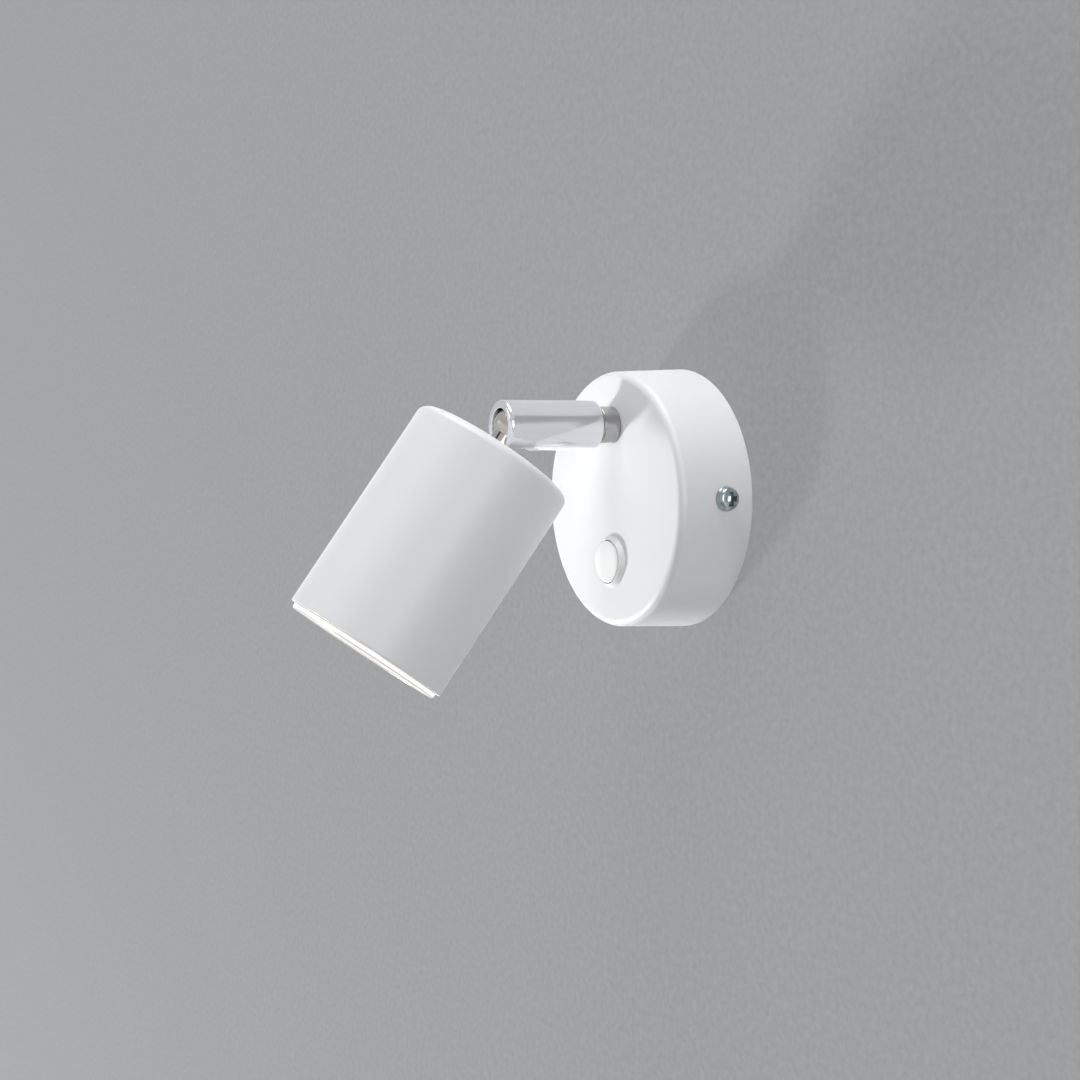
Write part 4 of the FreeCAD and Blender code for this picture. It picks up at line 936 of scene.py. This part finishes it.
def make_lamp():
    """Twist-lock lamp: ribbed flared body, pins, bright rim and lit lens."""
    base_end = LAMP_REAR - 11.0
    shoulder_end = base_end - 3.5
    flare_end = shoulder_end - 26.0
    ring_rear, lens_rear = LAMP_FRONT + 4.0, LAMP_FRONT + 2.8
    inner = LAMP_RADIUS - 1.3
    base_radius, shoulder_radius, flare_radius = 12.6, 15.5, 24.2
    body = turned(rounded([
        (0, LAMP_REAR), (base_radius, LAMP_REAR, 0.8), (base_radius, base_end, 1.0),
        (shoulder_radius, shoulder_end, 2.0), (flare_radius, flare_end, 3.0),
        (24.6, ring_rear), (inner, ring_rear), (inner, lens_rear), (0, lens_rear),
    ], closed=False), LAMP_PLASTIC, 160)
    half_rib, crest, rib_end = 0.45, 24.5, flare_end - 0.8
    rib_outline = [(15.0, shoulder_end - 0.5), (16.2, shoulder_end - 1.6),
                   (crest, flare_end + 0.6), (crest, rib_end), (22.8, rib_end)]
    rib = swept([(radius, y, -half_rib) for radius, y in rib_outline], (0, 0, 2 * half_rib))
    ribs = through_tree(rib, RING, Count=30, Material=LAMP_PLASTIC)
    piece("lamp_shell", joined([body, ribs]), HEAD_PLACE, "head", ["lamp_body"],
          LAMP_PLASTIC)
    seam, rim_rounding = 0.05, 0.55
    rim = turned(rounded([
        (inner + seam, ring_rear), (LAMP_RADIUS, ring_rear),
        (LAMP_RADIUS, LAMP_FRONT, rim_rounding), (inner + seam, LAMP_FRONT, rim_rounding),
    ], steps=8), LAMP_RIM, 192)
    piece("lamp_rim", rim, HEAD_PLACE, "head", ["lamp_ring"], LAMP_RIM)
    edge, glass_radius, glass_rise, glass_depth = LAMP_FRONT + 0.6, inner - seam, 0.5, 2.2
    glass = dome(glass_radius, edge, glass_rise, 16)
    glass += [(glass_radius, edge + glass_depth), (0, edge + glass_depth)]
    piece("lamp_front_lens", turned(glass, LENS, 192), HEAD_PLACE, "head",
          ["lamp_lens"], LENS)
    shank, head, head_start, pin_end, pin_pitch = 1.5, 2.4, 4.4, 7.0, 10.0
    pin = turned(rounded([(0, 0), (shank, 0), (shank, head_start), (head, head_start, 0.3),
                          (head, pin_end, 0.5), (0, pin_end)],
                         closed=False, steps=4), KNUCKLE_NICKEL, 48)
    pins = through_tree(pin, REPEAT, Columns=1, Rows=2, Across=0.0, Up=pin_pitch * MM, Turn=0.0,
                        Material=KNUCKLE_NICKEL)
    piece("twist_lock_pins", pins, HEAD_PLACE @ Matrix.Translation((0, LAMP_REAR, 0)), "head",
          ["lamp_pins"], KNUCKLE_NICKEL)


def make_holder_screws():
    """The lampholder's two screws."""
    screw = pan_head_screw(head_radius=2.6, head_height=1.8, shank_radius=1.5,
                           shank_length=15.0, cross=3.0)
    screws = through_tree(screw, REPEAT, Columns=2, Rows=1, Across=2 * HOLDER_SCREW_OFFSET * MM,
                          Up=0.0, Turn=0.0, Material=ZINC)
    seat = LAMP_REAR + 2.0
    place = HEAD_PLACE @ Matrix.Translation((0, seat, 0))
    piece("lampholder_screws", screws, place, "head", ["holder_screws"], ZINC)


# ---------------------------------------------------------------- CAD nodes that stay

def dress_cad_nodes():
    """Finishes of the pieces that keep their CAD shape."""
    finishes = {
        "wall_plate": ZINC, "stop_washer": ZINC, "swivel_washer": ZINC, "swivel_nut": ZINC,
        "stop_pin": ZINC, "pivot_tongue": TONGUE_NICKEL, "pivot_pin": ZINC,
        "friction_washers": ZINC, "stem_nut": ZINC, "holder_bracket": ZINC, "lampholder": CERAMIC,
    }
    for name, material in finishes.items():
        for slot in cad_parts[name].material_slots:
            slot.material = material


# ---------------------------------------------------------------- stage, lights and camera

def stage_material(name, seen, lit, glow, reflected=None):
    """Matt surface: one colour for the camera, one for light, one in reflections.

    It is clear from behind and to what touches it, so that the object's back can be looked at.

    The two tones of the glow are added for the camera alone, so that it lights nothing.
    """
    finish = Finish(name)
    path = finish.make("ShaderNodeLightPath")
    camera = path.other("Is Camera Ray")
    grain = finish.noise(2.4, detail=4.0, roughness=0.6)
    colour = finish.mix(path.other("Is Glossy Ray"), lit, reflected or lit)
    colour = finish.mix(camera, colour, seen)
    material = finish.set(Base_Color=colour, Roughness=0.9, Specular_IOR_Level=0.1,
                          Emission_Color=finish.mix(camera, BLACK, finish.mix(grain, *glow)),
                          Emission_Strength=1.0, Normal=finish.bump(grain, 0.4, 0.7))
    behind = finish.make("ShaderNodeNewGeometry", output="Backfacing")
    touching = 1.0 - (path.other("Ray Length") > TOUCHING)
    shown = finish.make("ShaderNodeMixShader", {
        0: behind.function("MAXIMUM", touching), 1: Signal(finish.shader.outputs[0]),
        2: finish.make("ShaderNodeBsdfTransparent")})
    finish.tree.links.new(shown.socket, finish.tree.nodes["Material Output"].inputs["Surface"])
    return material


def stage_plane(name, corners, material):
    """Flat piece of the stage, in metres."""
    mesh = bpy.data.meshes.new(name)
    mesh.from_pydata(corners, [], [(0, 1, 2, 3)])
    mesh.materials.append(material)
    stand_in(mesh, name)


def make_stage():
    """Grey wall behind the light and a pale floor far below it."""
    wall_side, wall_top, floor_side, ground, behind = 3.5, 2.2, 4.0, -2.4, 0.1 * MM
    wall = stage_material("wall paint", tint(80, 80, 81), tint(158, 160, 162),
                          (tint(122, 123, 124), tint(153, 154, 155)), tint(216, 217, 218))
    stage_plane("wall", [(-wall_side, behind, ground), (wall_side, behind, ground),
                         (wall_side, behind, wall_top), (-wall_side, behind, wall_top)], wall)
    floor = stage_material("pale floor", tint(96, 96, 95), tint(226, 226, 224),
                           (tint(186, 187, 188), tint(190, 191, 192)))
    stage_plane("floor", [(-floor_side, -floor_side, ground), (floor_side, -floor_side, ground),
                          (floor_side, floor_side, ground), (-floor_side, floor_side, ground)],
                floor)


def area_light(name, place, size, power):
    """Round lamp that faces the middle of the object; metres and watts."""
    middle = Vector((0.0, -0.05, 0.0))
    light = bpy.data.lights.new(name, "AREA")
    light.shape = "DISK"
    light.size = size
    light.energy = power
    lamp = bpy.data.objects.new(name, light)
    lamp.location = place
    lamp.rotation_euler = (middle - Vector(place)).to_track_quat("-Z", "Y").to_euler()
    bpy.context.collection.objects.link(lamp)


def make_lights():
    """Small key light from below left, broad soft light from above, weak light from both sides.
    The world is paler to the camera and in reflections than as a light."""
    area_light("key", (-2.4, -1.55, -1.8), size=0.45, power=105.0)
    area_light("above", (0.1, -0.35, 1.8), size=1.4, power=33.0)
    area_light("right", (1.8, -0.35, 0.2), size=1.0, power=10.8)
    area_light("left", (-1.0, -1.6, 0.0), size=1.2, power=5.4)
    world = bpy.data.worlds.new("studio")
    world.use_nodes = True
    tree = world.node_tree
    path = Signal.make(tree, "ShaderNodeLightPath")
    as_light, as_seen = 0.235, 0.85
    dim, pale = (Signal.make(tree, "ShaderNodeBackground", {
        "Color": tint(222, 224, 228), "Strength": strength}) for strength in (as_light, as_seen))
    seen = path.other("Is Camera Ray") + path.other("Is Glossy Ray")
    sky = Signal.make(tree, "ShaderNodeMixShader", {0: seen, 1: dim, 2: pale})
    tree.links.new(sky.socket, tree.nodes["World Output"].inputs["Surface"])
    bpy.context.scene.world = world


def make_camera():
    """Camera at the photograph's angle: worked out from the edges of the base, arm and head."""
    yaw, pitch = math.radians(60.87), math.radians(3.28)
    camera = bpy.data.cameras.new("photo view")
    camera.lens = 66.67
    camera.sensor_width = 36.0
    holder = bpy.data.objects.new("photo view", camera)
    holder.location = (0.55702, -0.36305, 0.0240)
    look = Vector((-math.sin(yaw) * math.cos(pitch), math.cos(yaw) * math.cos(pitch),
                   -math.sin(pitch)))
    holder.rotation_euler = look.to_track_quat("-Z", "Y").to_euler()
    bpy.context.collection.objects.link(holder)
    bpy.context.scene.camera = holder


make_base_cup()
make_side_screws()
make_switch()
make_neck()
make_terminals()
make_earth_terminal()
make_arm()
make_knuckle()
make_shade()
make_lamp()
make_holder_screws()
dress_cad_nodes()
make_stage()
make_lights()
make_camera()
bpy.context.scene.view_settings.view_transform = "Standard"
